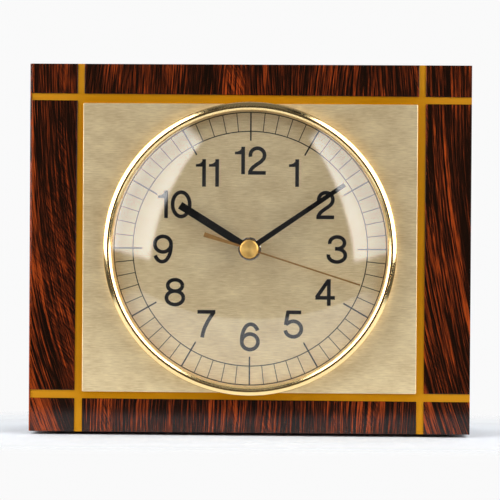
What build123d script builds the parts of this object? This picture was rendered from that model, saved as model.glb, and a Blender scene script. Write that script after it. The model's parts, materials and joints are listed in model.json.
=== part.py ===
from build123d import *
from math import cos, radians, sin, sqrt
import os

# A veneered table clock with a domed dial and a quartz movement. The origin is on the ground under
# the middle of the clock, +Z is up and the dial faces -Y. Lengths are in millimetres. A depth is
# measured backwards from the veneered front, and a place on the front from the middle of the dial.

# Case
case_width = 190.0
case_height = 158.5
case_depth = 52.0
side_board_thickness = 10.0
front_board_thickness = 9.0
veneer_thickness = 0.6
corner_block_width = 14.0
corner_block_chamfer = 4.0
foot_height = 1.4
foot_radius = 5.0
foot_inset = 12.0

# Rear panel
rear_recess = 9.0
rear_panel_thickness = 3.0
rear_panel_gap = 0.5
rear_opening_margin = 3.0
rear_opening_corner = 4.0

# Gold sheet and the lines of it that the front veneers leave bare
gold_sheet_thickness = 0.5
side_line_inset = 19.8
side_line_width = 3.2
top_line_inset = 13.1
top_line_width = 3.05
bottom_line_inset = 14.25
bottom_line_width = 3.5

# Dial plate
plate_top_gap = 0.35
plate_bottom_lap = 0.45
plate_thickness = 1.2

# Bezel and glass
bezel_radius = 63.4
bezel_opening_radius = 59.5
bezel_wall_height = 5.4
bezel_height = 6.6
bezel_groove_radius = 61.5
bezel_groove_width = 0.5
bezel_groove_depth = 0.5
bezel_lip_thickness = 0.32
bezel_flank_bulge = 0.2
bezel_ledge_width = 0.95
glass_radius = 60.5
glass_thickness = 2.0
glass_sphere_radius = 143.0
glass_seat_height = 2.6
glass_clearance = 0.06
tab_count = 4
tab_inset = 1.5
tab_width = 6.0
tab_thickness = 0.6
tab_fold = 4.0
tab_slot_clearance = 0.3
tab_recess_depth = 1.6

# Hands, with their angles clockwise from twelve
hour_hand_angle = 301.9
hour_hand_reach = 35.0
hour_hand_width = 3.3
minute_hand_angle = 55.7
minute_hand_reach = 49.0
minute_hand_root_width = 2.4
minute_hand_tip_width = 1.85
second_hand_angle = 107.65
second_hand_reach = 49.6
second_hand_width = 0.5
second_tail_reach = 20.2
second_tail_width = 2.1
hand_thickness = 0.4
second_hand_thickness = 0.3
hour_collet_radius = 3.6
minute_collet_radius = 2.7
second_collet_radius = 1.5
collet_rim = 0.3
cap_radius = 4.3
cap_height = 1.5
cap_rim = 0.5

# Coaxial arbors, from the middle outwards
running_clearance = 0.05
seconds_arbor_radius = 0.6
cannon_tube_radius = 1.6
hour_pipe_radius = 2.5
bush_radius = 4.0
bush_flange_radius = 5.6
bush_flange_thickness = 0.6
bush_hole_clearance = 0.4
washer_thickness = 0.4
washer_radius = 5.0
nut_radius = 5.1
nut_thickness = 1.8
nut_slot_width = 1.2
nut_slot_depth = 1.0
bush_proud = 0.2
hand_step = 1.6

# Movement housing
gasket_thickness = 1.0
gasket_radius = 9.0
movement_width = 66.0
movement_depth = 28.8
shell_wall = 1.5
shell_corner = 3.0
train_room_top = 30.5
train_room_bottom = 28.5
shell_split = 13.0
post_radius = 2.0
cover_post_radius = 3.0
cover_post_inset = 4.0
cover_post_gap = 0.3
tray_lug_thickness = 1.5
tray_lug_gap = 0.2

# Gear teeth, in modules and in shares of the tooth pitch
tooth_addendum = 0.85
tooth_dedendum = 1.25
tooth_root_share = 0.64
tooth_tip_share = 0.22

# Gear train
rotor_teeth = 6
intermediate_teeth = 36
intermediate_pinion_teeth = 8
seconds_teeth = 40
seconds_pinion_teeth = 8
third_teeth = 60
third_pinion_teeth = 8
centre_teeth = 64
cannon_teeth = 10
minute_teeth = 30
minute_pinion_teeth = 8
hour_teeth = 32
setting_teeth = 10
rotor_module = 0.35
intermediate_module = 0.5
third_module = 0.35
motion_module = 0.45
third_direction = 150.0
intermediate_direction = 30.0
rotor_direction = 60.0
minute_direction = -90.0
setting_direction = -90.0
wheel_thickness = 0.7
wheel_gap = 0.3
pinion_overlap = 0.3
layer_gap = 0.5
pivot_radius = 0.4
pivot_depth = 1.0
pivot_end_play = 0.1
arbor_radius = 0.6
stud_radius = 0.8
stud_shoulder_radius = 1.6
cannon_shoulder_radius = 2.5
cannon_rivet_radius = 2.1
clutch_spring_radius = 4.2
clutch_spring_thickness = 0.2
clutch_spring_rise = 0.5

# Motor and circuit
magnet_radius = 3.5
magnet_thickness = 2.0
magnet_gap = 0.5
stator_thickness = 1.0
stator_left = 4.0
stator_right = 24.0
stator_bottom = 7.2
stator_top = 25.5
stator_leg_width = 3.0
stator_pole_height = 10.4
coil_core_height = 3.0
coil_height = 8.0
coil_depth = 6.0
coil_end_gap = 0.5
stator_post_radius = 1.3
bridge_thickness = 1.5
bridge_margin = 4.0
board_width = 11.5
board_height = 21.0
board_thickness = 1.2
board_post_radius = 1.5
board_pin_radius = 0.8
crystal_radius = 1.5
crystal_length = 8.0
chip_width = 5.0
chip_length = 6.0
chip_height = 1.6

# Setting knob
setting_shaft_radius = 1.5
knob_radius = 7.0
knob_height = 6.0
knob_teeth = 28
knob_tooth_height = 0.5
knob_lift = 0.6
knob_socket_depth = 4.0

# Battery cell and its contacts
cell_radius = 13.1
cell_length = 50.0
cell_nub_radius = 3.75
cell_nub_height = 1.5
cell_rim = 0.8
cell_play = 0.4
cradle_thickness = 2.0
cradle_height = 7.0
cradle_place = 15.0
contact_thickness = 0.4
contact_width = 8.0
contact_height = 20.0
contact_leaf_drop = 7.0
contact_leaf_return = 3.4
contact_gap = 0.1

# Screws
screw_slot_width = 0.7
screw_slot_depth = 0.6
panel_screw_radius = 1.4
panel_screw_head_radius = 2.8
panel_screw_head_height = 1.5
panel_screw_length = 14.0
cover_screw_radius = 1.3
cover_screw_head_radius = 2.4
cover_screw_head_height = 1.3
cover_screw_grip = 5.0
bridge_screw_radius = 0.9
bridge_screw_head_radius = 1.8
bridge_screw_head_height = 1.0
bridge_screw_length = 6.0
screw_hole_clearance = 0.2
fit_clearance = 0.02

# Depths of the layers of the front and the case
sheet_front = veneer_thickness
board_front = sheet_front + gold_sheet_thickness
board_back = board_front + front_board_thickness
plate_front = sheet_front - plate_thickness
panel_back = case_depth - rear_recess
panel_front = panel_back - rear_panel_thickness

# Glass: two spheres about one centre on the dial's axis, at heights above the dial plate
glass_inner_radius = glass_sphere_radius - glass_thickness
glass_centre = glass_seat_height - sqrt(glass_inner_radius**2 - glass_radius**2)
glass_apex = glass_centre + glass_sphere_radius

# The middle of the clock's depth, dome included, is over the origin
front_y = (glass_apex - plate_front - case_depth) / 2
dial_z = foot_height + case_height / 2
dial_axis = Axis((0, front_y, dial_z), (0, 1, 0))

# Depths along the hand stack in front of the plate
washer_front = plate_front - washer_thickness
nut_front = washer_front - nut_thickness
bush_front = nut_front - bush_proud
hour_pipe_front = bush_front - hand_step
cannon_front = hour_pipe_front - hand_step
seconds_front = cannon_front - hand_step

# Depths of the movement
movement_front = board_back + gasket_thickness
shell_base = movement_front + shell_wall
split_depth = movement_front + shell_split
movement_back = movement_front + movement_depth
cover_inside = movement_back - shell_wall
hour_wheel_front = shell_base + bush_flange_thickness + wheel_gap
hour_wheel_back = hour_wheel_front + wheel_thickness
minute_wheel_front = hour_wheel_back + layer_gap
minute_wheel_back = minute_wheel_front + wheel_thickness
cannon_teeth_back = minute_wheel_back + pinion_overlap
centre_wheel_front = cannon_teeth_back + layer_gap
centre_wheel_back = centre_wheel_front + wheel_thickness
clutch_back = centre_wheel_back + clutch_spring_rise + clutch_spring_thickness
cannon_back = clutch_back + wheel_gap
third_wheel_front = cannon_back + layer_gap
third_wheel_back = third_wheel_front + wheel_thickness
seconds_wheel_front = third_wheel_back + 2 * pinion_overlap + wheel_gap
seconds_wheel_back = seconds_wheel_front + wheel_thickness
intermediate_wheel_front = seconds_wheel_back + 2 * pinion_overlap + wheel_gap
intermediate_wheel_back = intermediate_wheel_front + wheel_thickness
magnet_front = intermediate_wheel_back + 2 * pinion_overlap + wheel_gap
magnet_back = magnet_front + magnet_thickness
stator_front = (magnet_front + magnet_back - stator_thickness) / 2
stator_back = stator_front + stator_thickness
bridge_front = magnet_back + 2 * layer_gap
bridge_back = bridge_front + bridge_thickness
board_seat = stator_front

# Heights of the battery bay below the train
divider_bottom = -train_room_bottom - shell_wall
bay_height = 2 * (cell_radius + cell_play)
bay_bottom = divider_bottom - bay_height
movement_bottom = bay_bottom - shell_wall
movement_top = train_room_top + shell_wall
cell_height = divider_bottom - bay_height / 2
cell_depth = shell_base + cell_play + cell_radius
bay_half_width = movement_width / 2 - shell_wall


def polar(reach, angle, start=(0, 0)):
    """Gives the place at a distance and a direction from a start, as seen from the front."""
    return (start[0] + reach * cos(radians(angle)), start[1] + reach * sin(radians(angle)))


# Places of the arbors
third_distance = third_module * (seconds_pinion_teeth + third_teeth) / 2
centre_module = 2 * third_distance / (third_pinion_teeth + centre_teeth)
intermediate_distance = intermediate_module * (intermediate_pinion_teeth + seconds_teeth) / 2
rotor_distance = rotor_module * (rotor_teeth + intermediate_teeth) / 2
motion_distance = motion_module * (cannon_teeth + minute_teeth) / 2
hour_module = 2 * motion_distance / (minute_pinion_teeth + hour_teeth)
setting_distance = motion_module * (minute_teeth + setting_teeth) / 2
third_at = polar(third_distance, third_direction)
intermediate_at = polar(intermediate_distance, intermediate_direction)
rotor_at = polar(rotor_distance, rotor_direction, intermediate_at)
minute_at = polar(motion_distance, minute_direction)
setting_at = polar(setting_distance, setting_direction, minute_at)

# Places of the posts that carry the bridge, the circuit board, the stator and the cover
bridge_posts = [(-18.0, -10.0), (15.0, -8.0), (-8.0, 20.0)]
board_left = -bay_half_width + wheel_gap
board_bottom = 0.0
board_middle = (board_left + board_width / 2, board_bottom + board_height / 2)
board_posts = [polar(board_height / 2 - 2 * board_post_radius, turn, board_middle) for turn in (90, -90)]
stator_middle = (stator_left + stator_right) / 2
stator_leg_places = [stator_left + stator_leg_width / 2, stator_right - stator_leg_width / 2]
stator_post_height = (stator_bottom + stator_pole_height + stator_top - coil_core_height) / 2
stator_posts = [(place, stator_post_height) for place in stator_leg_places]
cover_post_reach = movement_width / 2 - cover_post_inset
cover_posts = [
    (side * cover_post_reach, height)
    for side in (-1, 1)
    for height in (movement_top - cover_post_inset, cover_post_radius + cover_post_gap - train_room_bottom)
]

os.makedirs("parts", exist_ok=True)


def face_at(depth):
    """Gives the plane that faces the front at a depth, centred on the dial."""
    return Plane((0, front_y + depth, dial_z), x_dir=(1, 0, 0), z_dir=(0, -1, 0))


# Half section of the dial: first coordinate the radius, second the height in front of the plate
dial_section = Plane((0, front_y + plate_front, dial_z), x_dir=(1, 0, 0), z_dir=(0, 0, -1))


def rod(radius, front, back, at=(0, 0), mode=Mode.ADD):
    """Adds or cuts a round length between two depths."""
    with BuildSketch(face_at(back)) as section:
        with Locations(at):
            Circle(radius)
    extrude(section.sketch, amount=back - front, mode=mode)


def slab(left, bottom, right, top, front, back, mode=Mode.ADD):
    """Adds or cuts a block between two corners of the front and two depths."""
    with BuildSketch(face_at(back)) as section:
        with Locations(((left + right) / 2, (bottom + top) / 2)):
            Rectangle(right - left, top - bottom)
    extrude(section.sketch, amount=back - front, mode=mode)


def gear(teeth, module, phase, front, back, at=(0, 0)):
    """Adds a gear with straight-sided teeth, one of them in the direction of the phase."""
    pitch = 360 / teeth
    tip = module * (teeth / 2 + tooth_addendum)
    root = module * (teeth / 2 - tooth_dedendum)
    corners = [
        (root, -tooth_root_share / 2),
        (tip, -tooth_tip_share / 2),
        (tip, tooth_tip_share / 2),
        (root, tooth_root_share / 2),
    ]
    outline = [
        polar(reach, phase + (tooth + share) * pitch)
        for tooth in range(teeth)
        for reach, share in corners
    ]
    with BuildSketch(face_at(back)) as section:
        with Locations(at):
            Polygon(*outline, align=None)
    extrude(section.sketch, amount=back - front)


def meshed(phase, teeth, direction, mate_teeth):
    """Gives the phase of a mate, in a direction from a gear, that puts its gap on the gear's tooth."""
    return direction + 180 - (phase - direction) * teeth / mate_teeth - 180 / mate_teeth


def screws(places, radius, length, head_radius, head_height, seat):
    """Adds slotted screws whose heads lie behind the seat's depth."""
    for place in places:
        rod(radius, seat - length, seat, place)
        rod(head_radius, seat, seat + head_height, place)
        left = place[0] - head_radius
        low = place[1] - screw_slot_width / 2
        right = place[0] + head_radius
        high = low + screw_slot_width
        head_back = seat + head_height
        slab(left, low, right, high, head_back - screw_slot_depth, head_back, Mode.SUBTRACT)


def finish(built, name):
    """Labels a piece and writes it."""
    built.part.label = name
    export_step(built.part, f"parts/{name}.step")


# Front board: the core of the front, with the hole for the bush and the recess for the bezel's tabs
core_half_width = case_width / 2 - veneer_thickness
core_half_height = case_height / 2 - veneer_thickness
bush_hole_radius = bush_radius + bush_hole_clearance
tab_radius = bezel_radius - tab_inset
tab_outer = tab_radius + tab_thickness / 2
tab_inner = tab_outer - tab_fold
with BuildPart() as front_board:
    with BuildSketch(face_at(board_back)):
        Rectangle(2 * core_half_width, 2 * core_half_height)
        Circle(bush_hole_radius, mode=Mode.SUBTRACT)
    extrude(amount=front_board_thickness)
    with BuildSketch(face_at(board_front + tab_recess_depth)):
        Circle(tab_outer + tab_slot_clearance)
        Circle(tab_inner - tab_slot_clearance, mode=Mode.SUBTRACT)
    extrude(amount=tab_recess_depth, mode=Mode.SUBTRACT)
finish(front_board, "front_board")

# Side boards: four boards mitred into a frame behind the front board
inner_half_width = core_half_width - side_board_thickness
inner_half_height = core_half_height - side_board_thickness
outer_corners = [
    (-core_half_width, -core_half_height),
    (core_half_width, -core_half_height),
    (core_half_width, core_half_height),
    (-core_half_width, core_half_height),
]
inner_corners = [
    (-inner_half_width, -inner_half_height),
    (inner_half_width, -inner_half_height),
    (inner_half_width, inner_half_height),
    (-inner_half_width, inner_half_height),
]
for start, board_name in enumerate(["bottom_board", "right_side_board", "top_board", "left_side_board"]):
    end = (start + 1) % len(outer_corners)
    with BuildPart() as side_board:
        with BuildSketch(face_at(case_depth)):
            Polygon(
                outer_corners[start],
                outer_corners[end],
                inner_corners[end],
                inner_corners[start],
                align=None,
            )
        extrude(amount=case_depth - board_back)
    finish(side_board, board_name)

# Corner blocks: posts glued into the corners, which the rear panel is screwed to
block_reach = inner_half_width - corner_block_width / 2
block_level = inner_half_height - corner_block_width / 2
block_places = [(side * block_reach, level * block_level) for side in (-1, 1) for level in (-1, 1)]
with BuildPart() as corner_blocks:
    with BuildSketch(face_at(panel_front)):
        with Locations(*block_places):
            Rectangle(corner_block_width, corner_block_width)
        chamfer(vertices().sort_by_distance((0, 0))[: len(block_places)], corner_block_chamfer)
    extrude(amount=panel_front - board_back)
    for place in block_places:
        pilot_front = panel_back - panel_screw_length
        rod(panel_screw_radius + fit_clearance, pilot_front, panel_front, place, Mode.SUBTRACT)
finish(corner_blocks, "corner_blocks")

# Side veneers: the left one laps the edge of the front, the others stop behind the gold sheet
half_width = case_width / 2
half_height = case_height / 2
side_veneers = {
    "left_side_veneer": (-half_width, -half_height, -core_half_width, half_height, 0),
    "right_side_veneer": (core_half_width, -half_height, half_width, half_height, board_front),
    "top_veneer": (-core_half_width, core_half_height, core_half_width, half_height, board_front),
    "bottom_veneer": (-core_half_width, -half_height, core_half_width, -core_half_height, board_front),
}
for veneer_name, (left, bottom, right, top, veneer_front) in side_veneers.items():
    with BuildPart() as side_veneer:
        slab(left, bottom, right, top, veneer_front, case_depth)
    finish(side_veneer, veneer_name)

# Gold sheet: one sheet over the whole front, slotted for the bezel's tabs
with BuildPart() as gold_sheet:
    slab(-core_half_width, -half_height, half_width, half_height, sheet_front, board_front)
    with BuildSketch(face_at(board_front)):
        Circle(bush_hole_radius)
        with PolarLocations(tab_radius, tab_count, 180 / tab_count):
            Rectangle(tab_thickness + 2 * tab_slot_clearance, tab_width + 2 * tab_slot_clearance)
    extrude(amount=gold_sheet_thickness, mode=Mode.SUBTRACT)
finish(gold_sheet, "gold_sheet")

# Front veneers: tiles on the gold sheet, with its lines left bare between them
line_outer_x = half_width - side_line_inset
line_inner_x = line_outer_x - side_line_width
top_line_outer_z = half_height - top_line_inset
top_line_inner_z = top_line_outer_z - top_line_width
bottom_line_outer_z = bottom_line_inset - half_height
bottom_line_inner_z = bottom_line_outer_z + bottom_line_width
columns = {
    "left": (-core_half_width, -line_outer_x),
    "middle": (-line_inner_x, line_inner_x),
    "right": (line_outer_x, half_width),
}
rows = {
    "bottom": (-half_height, bottom_line_outer_z),
    "middle": (bottom_line_inner_z, top_line_inner_z),
    "top": (top_line_outer_z, half_height),
}
front_veneers = {
    "corner_veneer_bottom_left": ("left", "bottom"),
    "corner_veneer_bottom_right": ("right", "bottom"),
    "corner_veneer_top_left": ("left", "top"),
    "corner_veneer_top_right": ("right", "top"),
    "band_veneer_bottom": ("middle", "bottom"),
    "band_veneer_top": ("middle", "top"),
    "band_veneer_left": ("left", "middle"),
    "band_veneer_right": ("right", "middle"),
}
for veneer_name, (column, row) in front_veneers.items():
    with BuildPart() as front_veneer:
        slab(columns[column][0], rows[row][0], columns[column][1], rows[row][1], 0, veneer_thickness)
    finish(front_veneer, veneer_name)

# Dial plate: lies on the gold sheet between the lines, with the same slots
plate_top = top_line_inner_z - plate_top_gap
plate_bottom = bottom_line_inner_z - plate_bottom_lap
with BuildPart() as dial_plate:
    slab(-line_inner_x, plate_bottom, line_inner_x, plate_top, plate_front, sheet_front)
    with BuildSketch(face_at(sheet_front)):
        Circle(bush_hole_radius)
        with PolarLocations(tab_radius, tab_count, 180 / tab_count):
            Rectangle(tab_thickness + 2 * tab_slot_clearance, tab_width + 2 * tab_slot_clearance)
    extrude(amount=plate_thickness, mode=Mode.SUBTRACT)
finish(dial_plate, "dial_plate")


def glass_height(radius):
    """Gives the height of the glass's outer face above the plate at a radius."""
    return glass_centre + sqrt(glass_sphere_radius**2 - radius**2)


# Bezel ring: two rounded flanks with a groove at the crest, a lip over the glass's edge and a ledge
# under it, and tabs that pass through the plate and fold behind the gold sheet
groove_outer = bezel_groove_radius + bezel_groove_width / 2
groove_inner = bezel_groove_radius - bezel_groove_width / 2
groove_floor = bezel_height - bezel_groove_depth
glass_room_radius = glass_radius + glass_clearance
lip_under = glass_height(bezel_opening_radius) + glass_clearance
lip_over = lip_under + bezel_lip_thickness
ledge_radius = glass_room_radius - bezel_ledge_width
with BuildPart() as bezel_ring:
    with BuildSketch(dial_section):
        with BuildLine():
            Line((bezel_radius, 0), (bezel_radius, bezel_wall_height))
            SagittaArc(
                (bezel_radius, bezel_wall_height),
                (groove_outer, bezel_height),
                -bezel_flank_bulge,
            )
            Polyline(
                (groove_outer, bezel_height),
                (groove_outer, groove_floor),
                (groove_inner, groove_floor),
                (groove_inner, bezel_height),
            )
            SagittaArc((groove_inner, bezel_height), (bezel_opening_radius, lip_over), -bezel_flank_bulge)
            Polyline(
                (bezel_opening_radius, lip_over),
                (bezel_opening_radius, lip_under),
                (glass_room_radius, glass_height(glass_radius) + glass_clearance),
                (glass_room_radius, glass_seat_height),
                (ledge_radius, glass_seat_height),
                (ledge_radius, 0),
                (bezel_radius, 0),
            )
        make_face()
    revolve(axis=dial_axis)
    with BuildSketch(face_at(board_front + tab_thickness)):
        with PolarLocations(tab_radius, tab_count, 180 / tab_count):
            Rectangle(tab_thickness, tab_width)
    extrude(amount=board_front + tab_thickness - plate_front)
    with BuildSketch(face_at(board_front + tab_thickness)):
        with PolarLocations((tab_inner + tab_outer) / 2, tab_count, 180 / tab_count):
            Rectangle(tab_fold, tab_width)
    extrude(amount=tab_thickness)
finish(bezel_ring, "bezel_ring")

# Glass dome: an even skin between two spheres, with its edge in the bezel
with BuildPart() as glass_dome:
    with BuildSketch(dial_section):
        with BuildLine():
            outer_edge = (glass_radius, glass_height(glass_radius))
            inner_edge = (glass_radius, glass_seat_height)
            inner_apex = (0, glass_apex - glass_thickness)
            Line((0, glass_apex), inner_apex)
            RadiusArc(inner_apex, inner_edge, glass_inner_radius)
            Line(inner_edge, outer_edge)
            RadiusArc(outer_edge, (0, glass_apex), -glass_sphere_radius)
        make_face()
    revolve(axis=dial_axis)
finish(glass_dome, "glass_dome")

# Rear panel: fits inside the side boards against the corner blocks, open behind the movement
opening_half_width = movement_width / 2 + rear_opening_margin
opening_height = movement_top - movement_bottom + 2 * rear_opening_margin
opening_middle = (movement_top + movement_bottom) / 2
with BuildPart() as rear_panel:
    with BuildSketch(face_at(panel_back)):
        Rectangle(2 * (inner_half_width - rear_panel_gap), 2 * (inner_half_height - rear_panel_gap))
        with Locations((0, opening_middle)):
            RectangleRounded(
                2 * opening_half_width,
                opening_height,
                rear_opening_corner,
                mode=Mode.SUBTRACT,
            )
        with Locations(*block_places):
            Circle(panel_screw_radius + screw_hole_clearance, mode=Mode.SUBTRACT)
    extrude(amount=rear_panel_thickness)
finish(rear_panel, "rear_panel")

with BuildPart() as rear_panel_screws:
    screws(
        block_places,
        panel_screw_radius,
        panel_screw_length,
        panel_screw_head_radius,
        panel_screw_head_height,
        panel_back,
    )
finish(rear_panel_screws, "rear_panel_screws")

# Feet: felt discs under the corners
with BuildPart() as foot_pads:
    with BuildSketch(Plane((0, front_y + case_depth / 2, 0))):
        with GridLocations(case_width - 2 * foot_inset, case_depth - 2 * foot_inset, 2, 2):
            Circle(foot_radius)
    extrude(amount=foot_height)
finish(foot_pads, "foot_pads")

# Battery tray: closes the train's shell and cover from below, held by lugs under the lower screws
lug_places = [place for place in cover_posts if place[1] < 0]
lug_outer = bay_half_width - tray_lug_gap
with BuildPart() as battery_tray:
    with BuildSketch(face_at(movement_back)):
        with Locations((0, (movement_bottom - train_room_bottom) / 2)):
            Rectangle(movement_width, -train_room_bottom - movement_bottom)
        fillet(vertices().group_by(Axis.Y)[0], shell_corner)
    extrude(amount=movement_depth)
    slab(
        -bay_half_width,
        bay_bottom,
        bay_half_width,
        divider_bottom,
        shell_base,
        movement_back,
        Mode.SUBTRACT,
    )
    for side in (-1, 1):
        middle = side * cradle_place
        slab(
            middle - cradle_thickness / 2,
            bay_bottom,
            middle + cradle_thickness / 2,
            divider_bottom,
            shell_base,
            shell_base + cradle_height,
        )
    with BuildSketch(Plane((-bay_half_width, front_y + cell_depth, dial_z + cell_height), z_dir=(1, 0, 0))):
        Circle(cell_radius + cell_play)
    extrude(amount=2 * bay_half_width, mode=Mode.SUBTRACT)
    for place in lug_places:
        side = 1 if place[0] > 0 else -1
        lug_ends = sorted((side * lug_outer, place[0] - side * cover_post_radius))
        slab(
            lug_ends[0],
            -train_room_bottom,
            lug_ends[1],
            place[1] + cover_post_radius,
            split_depth,
            split_depth + tray_lug_thickness,
        )
        rod(
            cover_screw_radius + screw_hole_clearance,
            split_depth,
            split_depth + tray_lug_thickness,
            place,
            Mode.SUBTRACT,
        )
finish(battery_tray, "battery_tray")

# Front shell of the movement: carries the train, with the bush's hole and the posts
with BuildPart() as front_shell:
    with BuildSketch(face_at(split_depth)):
        with Locations((0, (movement_top - train_room_bottom) / 2)):
            Rectangle(movement_width, movement_top + train_room_bottom)
        fillet(vertices().group_by(Axis.Y)[-1], shell_corner)
    extrude(amount=shell_split)
    slab(
        -bay_half_width,
        -train_room_bottom,
        bay_half_width,
        train_room_top,
        shell_base,
        split_depth,
        Mode.SUBTRACT,
    )
    rod(bush_radius, movement_front, shell_base, mode=Mode.SUBTRACT)
    rod(stud_shoulder_radius, shell_base, hour_wheel_front - wheel_gap, minute_at)
    rod(stud_radius, shell_base, minute_wheel_back + pinion_overlap, minute_at)
    for place in bridge_posts:
        rod(post_radius, shell_base, bridge_front, place)
        rod(
            bridge_screw_radius + fit_clearance,
            bridge_back - bridge_screw_length,
            bridge_front,
            place,
            Mode.SUBTRACT,
        )
    for place in board_posts:
        rod(board_post_radius, shell_base, board_seat, place)
        rod(board_pin_radius, board_seat, board_seat + board_thickness + wheel_gap, place)
    for place in stator_posts:
        rod(stator_post_radius, shell_base, stator_front, place)
    for place in cover_posts:
        rod(cover_post_radius, shell_base, split_depth, place)
        rod(
            cover_screw_radius + fit_clearance,
            split_depth - cover_screw_grip,
            split_depth,
            place,
            Mode.SUBTRACT,
        )
    for place in (third_at, intermediate_at, rotor_at, setting_at):
        rod(pivot_radius + running_clearance, shell_base - pivot_depth, shell_base, place, Mode.SUBTRACT)
finish(front_shell, "front_shell")

# Rear cover of the movement: closes the train, with the hole for the setting shaft
with BuildPart() as rear_cover:
    with BuildSketch(face_at(movement_back)):
        with Locations((0, (movement_top - train_room_bottom) / 2)):
            Rectangle(movement_width, movement_top + train_room_bottom)
        fillet(vertices().group_by(Axis.Y)[-1], shell_corner)
    extrude(amount=movement_back - split_depth)
    slab(
        -bay_half_width,
        -train_room_bottom,
        bay_half_width,
        train_room_top,
        split_depth,
        cover_inside,
        Mode.SUBTRACT,
    )
    for place in cover_posts:
        post_front = split_depth + tray_lug_thickness if place in lug_places else split_depth
        rod(cover_post_radius, post_front, cover_inside, place)
        rod(cover_screw_radius + screw_hole_clearance, split_depth, movement_back, place, Mode.SUBTRACT)
    rod(setting_shaft_radius + running_clearance, cover_inside, movement_back, setting_at, Mode.SUBTRACT)
finish(rear_cover, "rear_cover")

with BuildPart() as cover_screws:
    screws(
        cover_posts,
        cover_screw_radius,
        movement_back - split_depth + cover_screw_grip,
        cover_screw_head_radius,
        cover_screw_head_height,
        movement_back,
    )
finish(cover_screws, "cover_screws")

# Rubber gasket between the movement and the front board
with BuildPart() as rubber_gasket:
    rod(gasket_radius, board_back, movement_front)
    rod(bush_hole_radius, board_back, movement_front, mode=Mode.SUBTRACT)
finish(rubber_gasket, "rubber_gasket")

# Bush: the threaded tube that clamps the movement to the dial, with its flange inside the shell
with BuildPart() as threaded_bush:
    rod(bush_radius, bush_front, shell_base)
    rod(bush_flange_radius, shell_base, shell_base + bush_flange_thickness)
    rod(
        hour_pipe_radius + running_clearance,
        bush_front,
        shell_base + bush_flange_thickness,
        mode=Mode.SUBTRACT,
    )
finish(threaded_bush, "threaded_bush")

with BuildPart() as nut_washer:
    rod(washer_radius, washer_front, plate_front)
    rod(bush_radius + fit_clearance, washer_front, plate_front, mode=Mode.SUBTRACT)
finish(nut_washer, "nut_washer")

# Centre nut: a round nut with two slots for its key
with BuildPart() as centre_nut:
    rod(nut_radius, nut_front, washer_front)
    rod(bush_radius + fit_clearance, nut_front, washer_front, mode=Mode.SUBTRACT)
    slab(
        -nut_radius,
        -nut_slot_width / 2,
        nut_radius,
        nut_slot_width / 2,
        nut_front,
        nut_front + nut_slot_depth,
        Mode.SUBTRACT,
    )
finish(centre_nut, "centre_nut")

# Phases of the gears, each set from the gear that it meshes with
cannon_phase = 0.0
minute_phase = meshed(cannon_phase, cannon_teeth, minute_direction, minute_teeth)
setting_phase = meshed(minute_phase, minute_teeth, setting_direction, setting_teeth)
hour_phase = meshed(0, minute_pinion_teeth, minute_direction + 180, hour_teeth)
third_phase = meshed(0, seconds_pinion_teeth, third_direction, third_teeth)
centre_phase = meshed(0, third_pinion_teeth, third_direction + 180, centre_teeth)
seconds_phase = meshed(0, intermediate_pinion_teeth, intermediate_direction + 180, seconds_teeth)
intermediate_phase = meshed(0, rotor_teeth, rotor_direction + 180, intermediate_teeth)

# Hour wheel and its pipe
with BuildPart() as hour_wheel:
    gear(hour_teeth, hour_module, hour_phase, hour_wheel_front, hour_wheel_back)
    rod(hour_pipe_radius, hour_pipe_front, hour_wheel_front)
    rod(
        cannon_tube_radius + running_clearance,
        hour_pipe_front,
        hour_wheel_back,
        mode=Mode.SUBTRACT,
    )
finish(hour_wheel, "hour_wheel")

# Cannon pinion: the minute hand's tube, with a shoulder and a riveted end for the clutch
with BuildPart() as cannon_pinion:
    rod(cannon_tube_radius, cannon_front, cannon_back)
    gear(cannon_teeth, motion_module, cannon_phase, minute_wheel_front - pinion_overlap, cannon_teeth_back)
    rod(cannon_shoulder_radius, cannon_teeth_back, centre_wheel_front - running_clearance)
    rod(cannon_rivet_radius, clutch_back, cannon_back)
    rod(seconds_arbor_radius + running_clearance, cannon_front, cannon_back, mode=Mode.SUBTRACT)
finish(cannon_pinion, "cannon_pinion")

# Clutch spring: a dished washer that presses the centre wheel against the cannon pinion's shoulder
clutch_bore = cannon_tube_radius + fit_clearance
clutch_face = clutch_spring_thickness - running_clearance
clutch_section = Plane((0, front_y, dial_z), x_dir=(1, 0, 0), z_dir=(0, 0, -1))
with BuildPart() as clutch_spring:
    with BuildSketch(clutch_section):
        Polygon(
            (clutch_bore, -clutch_back),
            (clutch_spring_radius, clutch_spring_rise - clutch_back),
            (clutch_spring_radius, clutch_spring_rise + clutch_face - clutch_back),
            (clutch_bore, clutch_face - clutch_back),
            align=None,
        )
    revolve(axis=dial_axis)
finish(clutch_spring, "clutch_spring")

# Minute wheel: wheel and pinion in one, turning on the shell's stud
minute_pinion_front = hour_wheel_front - wheel_gap / 2
with BuildPart() as minute_wheel:
    gear(minute_teeth, motion_module, minute_phase, minute_wheel_front, minute_wheel_back, minute_at)
    gear(minute_pinion_teeth, hour_module, 0, minute_pinion_front, minute_wheel_front, minute_at)
    rod(
        stud_radius + running_clearance,
        minute_pinion_front,
        minute_wheel_back,
        minute_at,
        Mode.SUBTRACT,
    )
finish(minute_wheel, "minute_wheel")

# Centre wheel: driven by the train, held on the cannon pinion by the clutch alone
with BuildPart() as centre_wheel:
    gear(centre_teeth, centre_module, centre_phase, centre_wheel_front, centre_wheel_back)
    rod(
        cannon_tube_radius + running_clearance,
        centre_wheel_front,
        centre_wheel_back,
        mode=Mode.SUBTRACT,
    )
finish(centre_wheel, "centre_wheel")


def pivoted_arbor(at):
    """Adds an arbor between the shell and the bridge, with a pivot in each."""
    rod(arbor_radius, shell_base + pivot_end_play, bridge_front - pivot_end_play, at)
    rod(pivot_radius, shell_base - pivot_depth + pivot_end_play, bridge_back, at)


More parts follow.
